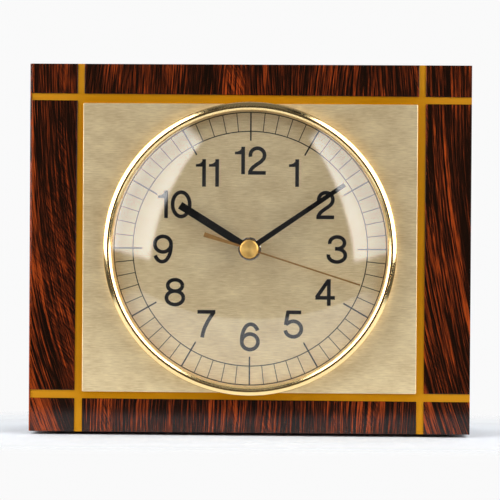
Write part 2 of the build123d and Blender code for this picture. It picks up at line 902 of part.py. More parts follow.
# Third wheel, with its pinion and arbor
with BuildPart() as third_wheel:
    pivoted_arbor(third_at)
    gear(third_teeth, third_module, third_phase, third_wheel_front, third_wheel_back, third_at)
    gear(
        third_pinion_teeth,
        centre_module,
        0,
        centre_wheel_front - pinion_overlap,
        centre_wheel_back + pinion_overlap,
        third_at,
    )
finish(third_wheel, "third_wheel")

# Seconds arbor and the seconds wheel that is pressed on it, with its pinion
with BuildPart() as seconds_arbor:
    rod(seconds_arbor_radius, seconds_front, bridge_front - pivot_end_play)
    rod(pivot_radius, bridge_front - pivot_end_play, bridge_back)
finish(seconds_arbor, "seconds_arbor")

with BuildPart() as seconds_wheel:
    gear(seconds_teeth, intermediate_module, seconds_phase, seconds_wheel_front, seconds_wheel_back)
    gear(
        seconds_pinion_teeth,
        third_module,
        0,
        third_wheel_front - pinion_overlap,
        seconds_wheel_front,
    )
    rod(
        seconds_arbor_radius,
        third_wheel_front - pinion_overlap,
        seconds_wheel_back,
        mode=Mode.SUBTRACT,
    )
finish(seconds_wheel, "seconds_wheel")

# Intermediate wheel, with its pinion and arbor
with BuildPart() as intermediate_wheel:
    pivoted_arbor(intermediate_at)
    gear(
        intermediate_teeth,
        rotor_module,
        intermediate_phase,
        intermediate_wheel_front,
        intermediate_wheel_back,
        intermediate_at,
    )
    gear(
        intermediate_pinion_teeth,
        intermediate_module,
        0,
        seconds_wheel_front - pinion_overlap,
        seconds_wheel_back + pinion_overlap,
        intermediate_at,
    )
finish(intermediate_wheel, "intermediate_wheel")

# Rotor: a pinion with its arbor, and the magnet on it
with BuildPart() as rotor_pinion:
    pivoted_arbor(rotor_at)
    gear(
        rotor_teeth,
        rotor_module,
        0,
        intermediate_wheel_front - pinion_overlap,
        intermediate_wheel_back + pinion_overlap,
        rotor_at,
    )
finish(rotor_pinion, "rotor_pinion")

with BuildPart() as rotor_magnet:
    rod(magnet_radius, magnet_front, magnet_back, rotor_at)
    rod(arbor_radius, magnet_front, magnet_back, rotor_at, Mode.SUBTRACT)
finish(rotor_magnet, "rotor_magnet")

# Train bridge: the plate behind the train that holds the rear pivots
with BuildPart() as train_bridge:
    with BuildSketch(face_at(bridge_back)):
        with Locations(*bridge_posts, rotor_at, third_at):
            Circle(bridge_margin)
        make_hull()
        with Locations((0, 0), third_at, intermediate_at, rotor_at):
            Circle(pivot_radius + running_clearance, mode=Mode.SUBTRACT)
        with Locations(*bridge_posts):
            Circle(bridge_screw_radius + screw_hole_clearance, mode=Mode.SUBTRACT)
    extrude(amount=bridge_thickness)
finish(train_bridge, "train_bridge")

with BuildPart() as bridge_screws:
    screws(
        bridge_posts,
        bridge_screw_radius,
        bridge_screw_length,
        bridge_screw_head_radius,
        bridge_screw_head_height,
        bridge_back,
    )
finish(bridge_screws, "bridge_screws")

# Stator: the motor's iron, a frame with a hole for the magnet and a bar for the coil
with BuildPart() as stator:
    slab(stator_left, stator_bottom, stator_right, stator_top, stator_front, stator_back)
    slab(
        stator_left + stator_leg_width,
        stator_bottom + stator_pole_height,
        stator_right - stator_leg_width,
        stator_top - coil_core_height,
        stator_front,
        stator_back,
        Mode.SUBTRACT,
    )
    rod(magnet_radius + magnet_gap, stator_front, stator_back, rotor_at, Mode.SUBTRACT)
finish(stator, "stator")

# Coil on the stator's bar
coil_half_length = (stator_right - stator_left) / 2 - stator_leg_width - coil_end_gap
core_middle = stator_top - coil_core_height / 2
coil_middle = (stator_front + stator_back) / 2
with BuildPart() as motor_coil:
    with BuildSketch(
        Plane(
            (stator_middle - coil_half_length, front_y + coil_middle, dial_z + core_middle),
            x_dir=(0, 1, 0),
            z_dir=(1, 0, 0),
        )
    ):
        SlotOverall(coil_height, coil_depth, rotation=90)
        Rectangle(stator_thickness, coil_core_height, mode=Mode.SUBTRACT)
    extrude(amount=2 * coil_half_length)
finish(motor_coil, "motor_coil")

# Circuit board on its pins, with the chip and the quartz crystal's can
board_right = board_left + board_width
board_back_face = board_seat + board_thickness
with BuildPart() as circuit_board:
    slab(board_left, board_bottom, board_right, board_bottom + board_height, board_seat, board_back_face)
    for place in board_posts:
        rod(board_pin_radius, board_seat, board_back_face, place, Mode.SUBTRACT)
finish(circuit_board, "circuit_board")

with BuildPart() as circuit_chip:
    slab(
        board_middle[0] - chip_width / 2,
        board_middle[1] - chip_length,
        board_middle[0] + chip_width / 2,
        board_middle[1],
        board_back_face,
        board_back_face + chip_height,
    )
finish(circuit_chip, "circuit_chip")

with BuildPart() as quartz_crystal:
    with BuildSketch(
        Plane(
            (
                board_middle[0] - crystal_length / 2,
                front_y + board_back_face + crystal_radius,
                dial_z + board_middle[1] + 2 * crystal_radius,
            ),
            z_dir=(1, 0, 0),
        )
    ):
        Circle(crystal_radius)
    extrude(amount=crystal_length)
finish(quartz_crystal, "quartz_crystal")

# Setting shaft with its pinion, and the knob outside the cover
knob_front = movement_back + knob_lift
with BuildPart() as setting_shaft:
    rod(setting_shaft_radius, shell_base + pivot_end_play, knob_front + knob_socket_depth, setting_at)
    rod(pivot_radius, shell_base - pivot_depth + pivot_end_play, shell_base + pivot_end_play, setting_at)
    gear(
        setting_teeth,
        motion_module,
        setting_phase,
        minute_wheel_front - pinion_overlap,
        minute_wheel_back + pinion_overlap,
        setting_at,
    )
finish(setting_shaft, "setting_shaft")

with BuildPart() as setting_knob:
    knob_points = [
        polar(knob_radius - knob_tooth_height * (corner % 2), 180 * corner / knob_teeth)
        for corner in range(2 * knob_teeth)
    ]
    with BuildSketch(face_at(knob_front + knob_height)):
        with Locations(setting_at):
            Polygon(*knob_points, align=None)
    extrude(amount=knob_height)
    rod(setting_shaft_radius, knob_front, knob_front + knob_socket_depth, setting_at, Mode.SUBTRACT)
finish(setting_knob, "setting_knob")

# Battery cell, lying across the bay with its nub to the right
cell_left = -cell_length / 2
cell_plane = Plane(
    (cell_left, front_y + cell_depth, dial_z + cell_height),
    x_dir=(0, 1, 0),
    z_dir=(1, 0, 0),
)
with BuildPart() as battery_cell:
    with BuildSketch(cell_plane):
        Circle(cell_radius)
    extrude(amount=cell_length - cell_nub_height)
    chamfer(edges().filter_by(GeomType.CIRCLE), cell_rim)
    with BuildSketch(cell_plane.offset(cell_length - cell_nub_height)):
        Circle(cell_nub_radius)
    extrude(amount=cell_nub_height)
finish(battery_cell, "battery_cell")

# Battery contacts: a plate on each end wall of the bay with a sprung leaf bent towards the cell
contact_front = cell_depth - contact_width / 2
contact_back = cell_depth + contact_width / 2
leaf_reach = bay_half_width - cell_length / 2 - contact_gap
for side, contact_name in ((1, "positive_contact"), (-1, "negative_contact")):
    wall = side * bay_half_width
    plate_face = wall - side * contact_thickness
    leaf_tip = wall - side * leaf_reach
    leaf_end = leaf_tip + side * contact_leaf_return
    with BuildPart() as contact:
        slab(
            min(wall, plate_face),
            cell_height - contact_height / 2,
            max(wall, plate_face),
            cell_height + contact_height / 2,
            contact_front,
            contact_back,
        )
        with BuildSketch(face_at(contact_back)):
            Polygon(
                (plate_face, cell_height + contact_height / 2),
                (leaf_tip, cell_height),
                (leaf_end, cell_height - contact_leaf_drop),
                (leaf_end + side * contact_thickness, cell_height - contact_leaf_drop),
                (leaf_tip + side * contact_thickness, cell_height),
                (wall, cell_height + contact_height / 2),
                align=None,
            )
        extrude(amount=contact_width)
    finish(contact, contact_name)


def hand_plane(depth, angle):
    """Gives a plane at a depth whose second axis points along a hand, clockwise from twelve."""
    turn = radians(angle)
    return Plane((0, front_y + depth, dial_z), x_dir=(cos(turn), 0, -sin(turn)), z_dir=(0, -1, 0))


# Hour hand: a plain baton on a collet round the hour pipe
hour_hand_front = hour_pipe_front + collet_rim
hour_hand_back = hour_hand_front + hand_thickness
hour_collet_back = bush_front - bush_proud
with BuildPart() as hour_hand:
    with BuildSketch(hand_plane(hour_hand_back, hour_hand_angle)):
        with Locations((0, hour_hand_reach / 2)):
            Rectangle(hour_hand_width, hour_hand_reach)
    extrude(amount=hand_thickness)
    rod(hour_collet_radius, hour_pipe_front, hour_collet_back)
    rod(hour_pipe_radius, hour_pipe_front, hour_collet_back, mode=Mode.SUBTRACT)
finish(hour_hand, "hour_hand")

# Minute hand: a slightly tapered baton on a collet round the cannon tube
minute_hand_front = cannon_front + collet_rim
minute_hand_back = minute_hand_front + hand_thickness
minute_collet_back = hour_pipe_front - collet_rim
with BuildPart() as minute_hand:
    with BuildSketch(hand_plane(minute_hand_back, minute_hand_angle)):
        Polygon(
            (-minute_hand_root_width / 2, 0),
            (minute_hand_root_width / 2, 0),
            (minute_hand_tip_width / 2, minute_hand_reach),
            (-minute_hand_tip_width / 2, minute_hand_reach),
            align=None,
        )
    extrude(amount=hand_thickness)
    rod(minute_collet_radius, cannon_front, minute_collet_back)
    rod(cannon_tube_radius, cannon_front, minute_collet_back, mode=Mode.SUBTRACT)
finish(minute_hand, "minute_hand")

# Second hand: a needle with a flared tail, and the cap that hides the ends of the arbors
second_hand_front = seconds_front + collet_rim
second_hand_back = second_hand_front + second_hand_thickness
second_collet_back = cannon_front - collet_rim
with BuildPart() as second_hand:
    with BuildSketch(hand_plane(second_hand_back, second_hand_angle)):
        Polygon(
            (-second_hand_width / 2, second_hand_reach),
            (-second_hand_width / 2, 0),
            (-second_tail_width / 2, -second_tail_reach),
            (second_tail_width / 2, -second_tail_reach),
            (second_hand_width / 2, 0),
            (second_hand_width / 2, second_hand_reach),
            align=None,
        )
    extrude(amount=second_hand_thickness)
    rod(second_collet_radius, second_hand_front, second_collet_back)
    rod(seconds_arbor_radius, second_hand_front, second_collet_back, mode=Mode.SUBTRACT)
finish(second_hand, "second_hand")

with BuildPart() as second_hand_cap:
    rod(cap_radius, second_hand_front - cap_height, second_hand_front)
    fillet(edges().filter_by(GeomType.CIRCLE).sort_by(Axis.Y)[0], cap_rim)
    rod(seconds_arbor_radius, seconds_front, second_hand_front, mode=Mode.SUBTRACT)
finish(second_hand_cap, "second_hand_cap")
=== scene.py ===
import json
from math import asin, cos, pi, radians, sin, sqrt, tau

import bmesh
import bpy
import numpy as np
from mathutils import Matrix, Vector


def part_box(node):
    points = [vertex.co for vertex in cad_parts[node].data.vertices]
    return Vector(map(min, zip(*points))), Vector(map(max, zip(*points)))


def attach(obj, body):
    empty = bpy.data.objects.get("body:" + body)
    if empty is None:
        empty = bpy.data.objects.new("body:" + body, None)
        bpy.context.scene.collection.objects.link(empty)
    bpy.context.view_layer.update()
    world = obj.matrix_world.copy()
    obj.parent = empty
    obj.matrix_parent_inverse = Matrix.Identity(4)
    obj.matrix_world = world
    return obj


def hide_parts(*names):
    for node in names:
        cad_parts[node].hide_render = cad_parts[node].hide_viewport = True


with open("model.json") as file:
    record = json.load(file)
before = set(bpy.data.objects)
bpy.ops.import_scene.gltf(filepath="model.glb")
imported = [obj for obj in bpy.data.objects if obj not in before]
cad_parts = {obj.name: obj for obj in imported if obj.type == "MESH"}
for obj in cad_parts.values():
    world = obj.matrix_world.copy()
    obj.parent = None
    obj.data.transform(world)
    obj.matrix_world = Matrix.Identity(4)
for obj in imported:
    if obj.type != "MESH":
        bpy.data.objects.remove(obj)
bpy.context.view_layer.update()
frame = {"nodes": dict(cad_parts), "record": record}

# Shapes are worked out in millimetres in the frame's own axes, and go into the meshes in metres.
MM = 0.001
WELD = 1e-7

# A solid turned profile stops this far short of its axis
turning_core = 0.02


def box_mm(node):
    """Gives a node's lowest and highest corner in millimetres."""
    low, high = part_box(node)
    return np.array(low) / MM, np.array(high) / MM


# Places that the frame gives
plate_low, plate_high = box_mm("dial_plate")
bezel_low, bezel_high = box_mm("bezel_ring")
knob_low, knob_high = box_mm("setting_knob")
cell_low, cell_high = box_mm("battery_cell")
feet_low, feet_high = box_mm("foot_pads")
case_left = box_mm("left_side_veneer")[0][0]
case_right = box_mm("right_side_veneer")[1][0]
case_top = box_mm("top_veneer")[1][2]
case_bottom = box_mm("bottom_veneer")[0][2]
case_back = box_mm("left_side_veneer")[1][1]
front_y = box_mm("band_veneer_top")[0][1]
plate_y = plate_low[1]
dial_z = (bezel_low[2] + bezel_high[2]) / 2
case_middle_y = (front_y + case_back) / 2
case_middle_z = (case_top + case_bottom) / 2
case_half_depth = (case_back - front_y) / 2

# Camera, from the photograph's frame of 500 pixels
picture_width = 500
case_pixels = 441.65
case_pixel_x = 249.7
case_pixel_y = 248.85
camera_distance = 1200.0
camera_azimuth = 1.65
camera_elevation = 0.8
camera_roll = 0.36
sensor_width = 36.0
pixel_size = (case_right - case_left) / case_pixels

# Softboxes, in shares of their distance, on a grid from, to and in points; levels of their light
softbox_distance = 450.0
softbox_strength = 8.4
softbox_across = (0.4, 3.2, 140)
softbox_up = (-0.3, 1.9, 90)
softbox_inner_edges = {"softbox_left": (0.842, -0.245, -0.17), "softbox_right": (0.822, -0.19, -0.135)}
softbox_inner_fade = (-0.03, 0.03)
softbox_bottom = -0.12
softbox_bottom_at = 0.9
softbox_bottom_rise = 0.13
softbox_bottom_fade = (-0.02, 0.05)
softbox_top = 0.345
softbox_top_rise = 1.25
softbox_top_fade = (-0.1, 0.1)
softbox_rim_level = 0.62
softbox_seam_level = 0.51
softbox_seam = (0.08, 0.24)
softbox_outer = (1.24, 1.55)
softbox_wing = (1.5, 1.75)
softbox_wing_drop = 0.16
softbox_wing_lift = 0.35

# Floor, in metres, and the surround
floor_half_width = 1.2
floor_colour = (0.745, 0.78, 0.825, 1.0)
floor_front_edge = 0.134
floor_edge_spread = 0.72
floor_edge_fade = (-0.002, 0.002)
floor_sides = (0.225, 0.185)
floor_near = (0.09, 0.008)
floor_far = (0.8, 0.35)
floor_sheen = 0.18
background_white = 0.955
overhead_light = (0.07, 0.17)
rear_light = 0.93
rear_rise = (-0.1, 0.3)
behind_glass = -0.35

# The dial print, the bezel and the glass sit a little beside the hands' axis
dial_at = (0.22, 0.05)

# Bezel, in radii and heights in front of the plate
bezel_draw = 0.4
bezel_wall_top = 5.65
bezel_crest = 6.6
bezel_groove_outer = 61.3
bezel_groove_inner = 60.52
bezel_groove_floor = 4.9
bezel_opening = 59.4
bezel_lip_over = 5.63
bezel_lip_under = 5.33
bezel_room = 60.56
bezel_room_top = 4.83
bezel_seat = 2.6
bezel_ledge = 59.61
bezel_edge = 0.05
bezel_shoulder, bezel_brink, bezel_inner_brink, bezel_lip_round = 0.55, 0.1, 0.25, 0.2

# Glass
glass_edge = 60.5
glass_outer_sphere = 143.0
glass_inner_sphere = 141.0

# Dial plate
plate_roll = 0.3
plate_corner = 0.5
plate_hole = 4.4
plate_draw_top = 0.45
plate_draw_right = 0.1

# Dial print
print_thickness = 0.03
number_ring = 37.6
number_stroke = 1.6
number_gap = {"10": 1.42, "11": 1.4, "12": 1.47}
number_nudges = {1: (-0.11, -0.02), 2: (-0.24, 0.18), 3: (-0.24, 0.0), 4: (-0.19, 0.44), 5: (0.04, 0.32),
                 6: (0.37, -0.14), 7: (0.48, 0.33), 8: (0.67, 0.04), 9: (0.43, -0.25), 10: (0.31, 0.07),
                 11: (0.46, -0.15), 12: (0.15, 0.21)}
inner_circle = 50.2
outer_circle = 58.3
circle_width = 0.42
minute_mark_width = 0.34
hour_mark_width = 0.62
hour_mark_start = 46.2

# Hands: blades with their widths at both ends, heights in front of the plate and angles clockwise from
# twelve, and the outer and inner radius of the collets that carry them
hour_blade = dict(start=2.6, end=35.0, wide_start=3.3, wide_end=3.3, front=3.7, thickness=0.4, angle=301.9)
minute_blade = dict(start=1.7, end=49.0, wide_start=2.4, wide_end=1.85, front=5.3, thickness=0.4, angle=55.7)
second_blade = dict(start=0.65, end=49.6, wide_start=0.7, wide_end=0.7, front=6.9, thickness=0.3, angle=107.65)
second_tail = dict(second_blade, end=20.2, wide_end=2.1, angle=second_blade["angle"] + 180)
hour_collet = (3.6, 2.5)
minute_collet = (2.7, 1.6)
second_collet = (1.5, 0.6)
blade_ease = 0.07
collet_ease = 0.08

# Cap of the second hand and nut on the bush
cap_draw = 0.4
cap_round = 0.55
cap_flat = 0.85
cap_sink = 0.04
cap_bore = 0.6
cap_bore_depth = 0.3
nut_bore = 4.02
nut_ease = 0.22
nut_draw = 0.2
nut_slot_width = 1.2
nut_slot_depth = 1.0

# Setting knob
knob_radius = 7.0
knob_bore = 1.5
knob_face = 2.0
knob_ribs = 28
knob_rib_depth = 0.5
knob_rib_start = 5.0
knob_eases = (0.05, 0.5, 0.9, 0.005, 0.005, 0.05)

# Battery cell: the wrap's curled rims and the can inside it
cell_nub = 3.75
cell_nub_height = 1.5
cell_curl = 11.3
cell_pole = 9.6
wrap_end, wrap_inside = 0.05, 0.2
can_step = 0.5
can_inside = 0.4
nub_skirt, nub_skirt_top = 2.6, 2.0
nub_sink = 0.1
wrap_eases = (0.05, 0.9, 0.9, 0.05, 0.03, 0.7, 0.7, 0.03)
can_eases = (0.01, 0.2, 0.2, 0.1, 0.1, 0.1, 0.2, 0.3, 0.5, 0.01)
wrap_pale_end = (13.95, 14.05)

# Felt feet
foot_radius = 5.0
foot_waves = 24
foot_wave_depth = 0.12
foot_rim = 0.5
foot_eases = (0.005, 0.35, 0.1, 0.005)

# Case: how both sides of each column and row of veneers are laid, as a shift in millimetres and a lean
veneer_ease = 0.28
square = (0.0, 0.0)
veneer_columns = {"left": (square, (0.31, 0.0063)), "middle": ((0.21, 0.0028), (0.24, 0.0025)),
                  "right": ((-0.01, 0.0007), square)}
veneer_rows = {"bottom": (square, (-0.08, -0.0026)), "middle": ((-0.16, -0.003), (-0.05, -0.0053)),
               "top": ((-0.09, -0.005), square)}
# Painted sheen on the gold lines: where it starts and where it is full, across and up from the dial's middle
painted_line_sheen_across, painted_line_sheen_up = (68.0, 80.0), (64.0, 70.0)
soft_edge_angle = 35.0
back_eases = {"rear_panel": 0.35, "rear_panel_screws": 0.2, "rear_cover": 0.4, "battery_tray": 0.3,
              "cover_screws": 0.15, "left_side_board": 0.25, "right_side_board": 0.25, "top_board": 0.25,
              "bottom_board": 0.25}

# Figure of the rosewood: where its columns start, how they curl, and how red each part is
figure_columns = 73.6
figure_curl = 0.00107
figure_left, figure_left_red = (-91.8, -94.2), (0.12, 1.06)
figure_right, figure_right_red = (83.6, 81.6), (0.12, 0.66)
figure_right_bands = (-0.35, 0.35)
figure_corner, figure_corner_red = (15.5, 14.0), (0.0, 0.36)
figure_low, figure_low_red = (100.0, 145.0), (0.46, 0.54)
bend_range = (0.2, 0.8)
grain_sway, column_sway = (-5.0, 5.0), (-1.5, 1.5)
edge_plain, edge_deep, edge_reds = 0.9, 0.6, (0.51, 1.68)
no_red_edge = -1000.0


# Curves

def join(*parts):
    """Puts coordinates together as points."""
    return np.stack(np.broadcast_arrays(*parts), axis=-1)


def bow(middle, radii, start, end, steps=40):
    """An elliptical arc: the middle plus the radii times cosine and sine of an angle in degrees."""
    angle = np.radians(np.linspace(start, end, steps))
    return np.array(middle) + np.array(radii) * join(np.cos(angle), np.sin(angle))


def flow(*places, steps=10):
    """A smooth curve through places: between two of them, the cubic whose slopes are half the step
    from each one's neighbour before to its neighbour after."""
    places = np.array(places, dtype=float)
    before = 2 * places[0] - places[1]
    after = 2 * places[-1] - places[-2]
    p = np.concatenate([[before], places, [after]])
    t = np.linspace(0, 1, steps, endpoint=False)[None, :, None]
    a, b, c, d = (p[i:len(p) - 3 + i][:, None, :] for i in range(4))
    curve = b + (c - a) * t / 2 + (2 * a - 5 * b + 4 * c - d) * t**2 / 2 + (3 * b - a - 3 * c + d) * t**3 / 2
    return np.concatenate([curve.reshape(-1, places.shape[1]), places[-1:]])


def line(*places):
    """A straight run through places."""
    return np.array(places, dtype=float)


def eased(corners, ease, steps=7):
    """A closed profile with each corner rounded: the quadratic curve that starts and ends at the
    ease from the corner, along its two sides."""
    corners = line(*corners)
    ease = np.broadcast_to(ease, len(corners))[:, None]
    sides = [np.roll(corners, way, axis=0) - corners for way in (1, -1)]
    start, end = (corners + side / np.linalg.norm(side, axis=1, keepdims=True) * ease for side in sides)
    t = np.linspace(0, 1, steps)[None, :, None]
    curve = (1 - t)**2 * start[:, None] + 2 * t * (1 - t) * corners[:, None] + t**2 * end[:, None]
    return curve.reshape(-1, 2)


# Surfaces: each gives an array of points and an array of four-sided faces

def grid_faces(rows, columns, close_rows=False, close_columns=False):
    """Faces between neighbouring points of a grid, joined up where it is closed."""
    row = np.arange(rows - (not close_rows))[:, None]
    column = np.arange(columns - (not close_columns))
    below, right = (row + 1) % rows * columns, (column + 1) % columns
    row = row * columns
    return join(row + column, row + right, below + right, below + column).reshape(-1, 4)


def turned(profile, closed=True, steps=192, waves=0, wave_depth=0.0, wavy_from=0.0):
    """A profile of radii and heights carried round an axis: radius times sine and cosine of the turn,
    at its height. Beyond a radius it is wavy: it dips by the wave depth that many times a turn."""
    turn = np.linspace(0, tau, steps, endpoint=False)[:, None]
    radius, height = profile.T
    radius = radius - (radius > wavy_from) * wave_depth * (1 - np.cos(waves * turn)) / 2
    points = join(radius * np.sin(turn), radius * np.cos(turn), height)
    return points.reshape(-1, 3), grid_faces(steps, len(profile), True, closed)


def on_dial(surface, at=(0.0, 0.0)):
    """Sets a turned surface on the plate: its axis points forwards from a place on the dial."""
    points, faces = surface
    x, y, z = points.T
    return join(x + at[0], plate_y - z, y + at[1] + dial_z), faces


def round_corners(steps):
    """Directions through four quarter turns, and the side of the middle that each quarter is on."""
    angle = np.linspace(0, pi / 2, steps) + np.arange(4)[:, None] * pi / 2
    out = join(np.cos(angle), np.sin(angle)).reshape(-1, 2)
    return out, np.repeat([[1, 1], [-1, 1], [-1, -1], [1, -1]], steps, axis=0)


def eased_block(low, high, ease, steps=5):
    """A block with rounded edges: the unit sphere's directions on a grid of longitude and latitude,
    times the ease, each set out from the block's inner corner in its own octant."""
    middle, half = (low + high) / 2, (high - low) / 2
    ease = min(ease, half.min() * 0.98)
    inner = half - ease
    out, sides = round_corners(steps)
    quarter = np.linspace(0, pi / 2, steps)
    tilt = np.concatenate([quarter - pi / 2, quarter])[:, None]
    x, y = (np.cos(tilt) * out[:, i] * ease + sides[:, i] * inner[i] for i in (0, 1))
    z = np.sin(tilt) * ease + np.repeat([-1, 1], steps)[:, None] * inner[2]
    pole = join(0.0, 0.0, np.full((1, len(out)), half[2]))
    points = np.concatenate([-pole, join(x, y, z), pole]) + middle
    return points.reshape(-1, 3), grid_faces(len(points), len(out), False, True)


def ribbon(edge_a, edge_b, front, thickness):
    """A flat strip between two edge lines on the dial, with a thickness behind its front height."""
    sides = [(edge_a, front), (edge_b, front), (edge_b, front - thickness), (edge_a, front - thickness)]
    points = np.stack([join(e[:, 0], plate_y - h, e[:, 1] + dial_z) for e, h in sides], axis=1)
    faces = grid_faces(len(edge_a), 4, False, True)
    last = 4 * (len(edge_a) - 1)
    ends = np.array([[3, 2, 1, 0], [last, last + 1, last + 2, last + 3]])
    return points.reshape(-1, 3), np.concatenate([faces, ends])


def stroke(path, width):
    """The two edges of a pen stroke: the path moved half the width to each side, square to its run."""
    run = np.gradient(path, axis=0)
    side = join(-run[:, 1], run[:, 0]) / np.linalg.norm(run, axis=1, keepdims=True)
    return path + side * width / 2, path - side * width / 2


def baton(start, end, wide_start, wide_end, front, thickness, angle, ease=blade_ease):
    """A flat hand: an eight-sided section carried along the hand, whose width goes evenly from its
    start to its end, drawn in by the ease at both ends, and turned clockwise from twelve."""
    along = np.array([start, start, start + ease, end - ease, end, end])
    half = (wide_start + (wide_end - wide_start) * (along - start) / (end - start)) / 2
    draw = np.array([half[0], ease, 0, 0, ease, half[-1]])
    half_thick = thickness / 2
    across = np.repeat([1, -1], 4)
    across_ease = np.array([1, 0, 0, 1, 1, 0, 0, 1]) * ease
    over = np.array([1, 1, -1, -1, -1, -1, 1, 1])
    over_ease = ease - across_ease
    wide = across * np.maximum(half[:, None] - across_ease - draw[:, None], 0)
    over_draw = np.where(draw < half * 0.9, draw, half_thick)[:, None]
    high = over * np.maximum(half_thick - over_ease - over_draw, 0)
    s, c = sin(radians(angle)), cos(radians(angle))
    reach = along[:, None]
    points = join(reach * s + wide * c, plate_y - (front - half_thick) - high, reach * c - wide * s + dial_z)
    return points.reshape(-1, 3), grid_faces(len(along), len(across), False, True)


def slotted_nut(outer, back, front, steps=48):
    """A ring nut: an eased ring section carried round the axis. Two slots lie across it: inside half
    their width from the middle line, heights stay below the slot's floor."""
    profile = eased([(nut_bore, back), (outer, back), (outer, front), (nut_bore, front)], nut_ease)
    edge = np.arcsin(nut_slot_width / 2 / profile[:, 0])
    slot = np.linspace(-1, 1, 5)[:, None] * edge
    land = edge + np.linspace(0, 1, steps)[:, None] * (pi - 2 * edge)
    angle = np.concatenate([slot, land, slot + pi, land + pi])
    cut = np.tile(np.repeat([True, False], [len(slot), steps]), 2)[:, None]
    height = np.where(cut, np.minimum(profile[:, 1], front - nut_slot_depth), profile[:, 1])
    points = join(profile[:, 0] * np.cos(angle), profile[:, 0] * np.sin(angle), height)
    return points.reshape(-1, 3), grid_faces(*angle.shape, True, True)


def rolled_plate(low, high, hole, roll, corner, thickness, steps=9):
    """The dial plate: its outline, a rectangle with small round corners, is drawn in by rows. They
    go from the hole over the flat face, round a quarter circle at the rolled edge, then behind."""
    middle, half = (low + high) / 2, (high - low) / 2
    out, sides = round_corners(steps)
    heading = middle + sides * (half - corner) + corner * out
    rim = hole * heading / np.linalg.norm(heading, axis=1, keepdims=True)
    sweep = np.linspace(0, pi / 2, steps)
    inset = np.concatenate([[2 * roll], roll * (1 - np.sin(sweep)), [0.0]])[:, None, None]
    depth = np.concatenate([[0.0, 0.0], roll * (1 - np.cos(sweep)), [thickness, thickness]])[:, None]
    rounding = np.maximum(corner - inset, 0.0)
    edge = middle + sides * (half - inset - rounding) + rounding * out
    flat = np.concatenate([[rim], edge, [rim]])
    points = join(flat[..., 0], plate_y + depth, flat[..., 1] + dial_z)
    return points.reshape(-1, 3), grid_faces(*flat.shape[:2], True, True)


# Pieces

def place_object(name, data):
    """Puts a new object into the scene."""
    made = bpy.data.objects.new(name, data)
    bpy.context.collection.objects.link(made)
    return made


def settle(name, mesh, edit, sharp, body, slot, material, replaced):
    """Edits a mesh as one shell, shades it, makes it a piece and lets it ride on its body."""
    shell = bmesh.new()
    shell.from_mesh(mesh)
    edit(shell)
    shell.to_mesh(mesh)
    shell.free()
    mesh.shade_smooth()
    mesh.set_sharp_from_angle(angle=radians(sharp))
    mesh.materials.clear()
    mesh.materials.append(material or slot_materials[slot])
    piece = place_object(name, mesh)
    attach(piece, body)
    if replaced:
        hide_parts(*replaced)
    return piece


def keep_flat(piece):
    """Lets large flat faces set the shading of the rounded edges beside them."""
    piece.modifiers.new("flat_faces_stay_flat", "WEIGHTED_NORMAL").keep_sharp = True


def weld_outwards(shell):
    """Welds seams and poles, and turns the faces outwards."""
    bmesh.ops.remove_doubles(shell, verts=shell.verts, dist=WELD)
    bmesh.ops.recalc_face_normals(shell, faces=shell.faces)


def join_flat(shell):
    """Merges a CAD mesh's loose triangles and joins its flat faces."""
    bmesh.ops.remove_doubles(shell, verts=shell.verts, dist=10 * WELD)
    bmesh.ops.dissolve_limit(shell, angle_limit=radians(0.5), verts=shell.verts, edges=shell.edges)


def add_piece(name, surfaces, body, slot, replaced=(), material=None, sharp=40.0, weighted=False):
    """Makes one piece from its surfaces, in its slot's finish or its own."""
    counts = np.cumsum([0] + [len(points) for points, _ in surfaces])
    points = np.concatenate([points for points, _ in surfaces]) * MM
    faces = np.concatenate([faces + start for (_, faces), start in zip(surfaces, counts)])
    mesh = bpy.data.meshes.new(name)
    mesh.from_pydata(points, [], faces)
    piece = settle(name, mesh, weld_outwards, sharp, body, slot, material, replaced)
    if weighted:
        keep_flat(piece)


def add_eased(node, slot, ease):
    """A CAD piece of the case with softened edges: a copy of its mesh is merged, and a narrow bevel
    goes along every edge that turns sharply."""
    mesh = frame["nodes"][node].data.copy()
    piece = settle(node + "_eased", mesh, join_flat, soft_edge_angle, "case", slot, None, [node])
    bevel = piece.modifiers.new("soft_edges", "BEVEL")
    bevel.width, bevel.segments = ease * MM, 2
    bevel.limit_method, bevel.angle_limit = "ANGLE", radians(soft_edge_angle)
    keep_flat(piece)


# Shader nodes

def step(operation, swapped=False):
    """Makes a wire's method for one step of arithmetic."""
    def method(wire, other=0.0):
        pair = (other, wire) if swapped else (wire, other)
        return put(wire.tree, "Math", dict(enumerate(pair)), operation=operation)
    return method


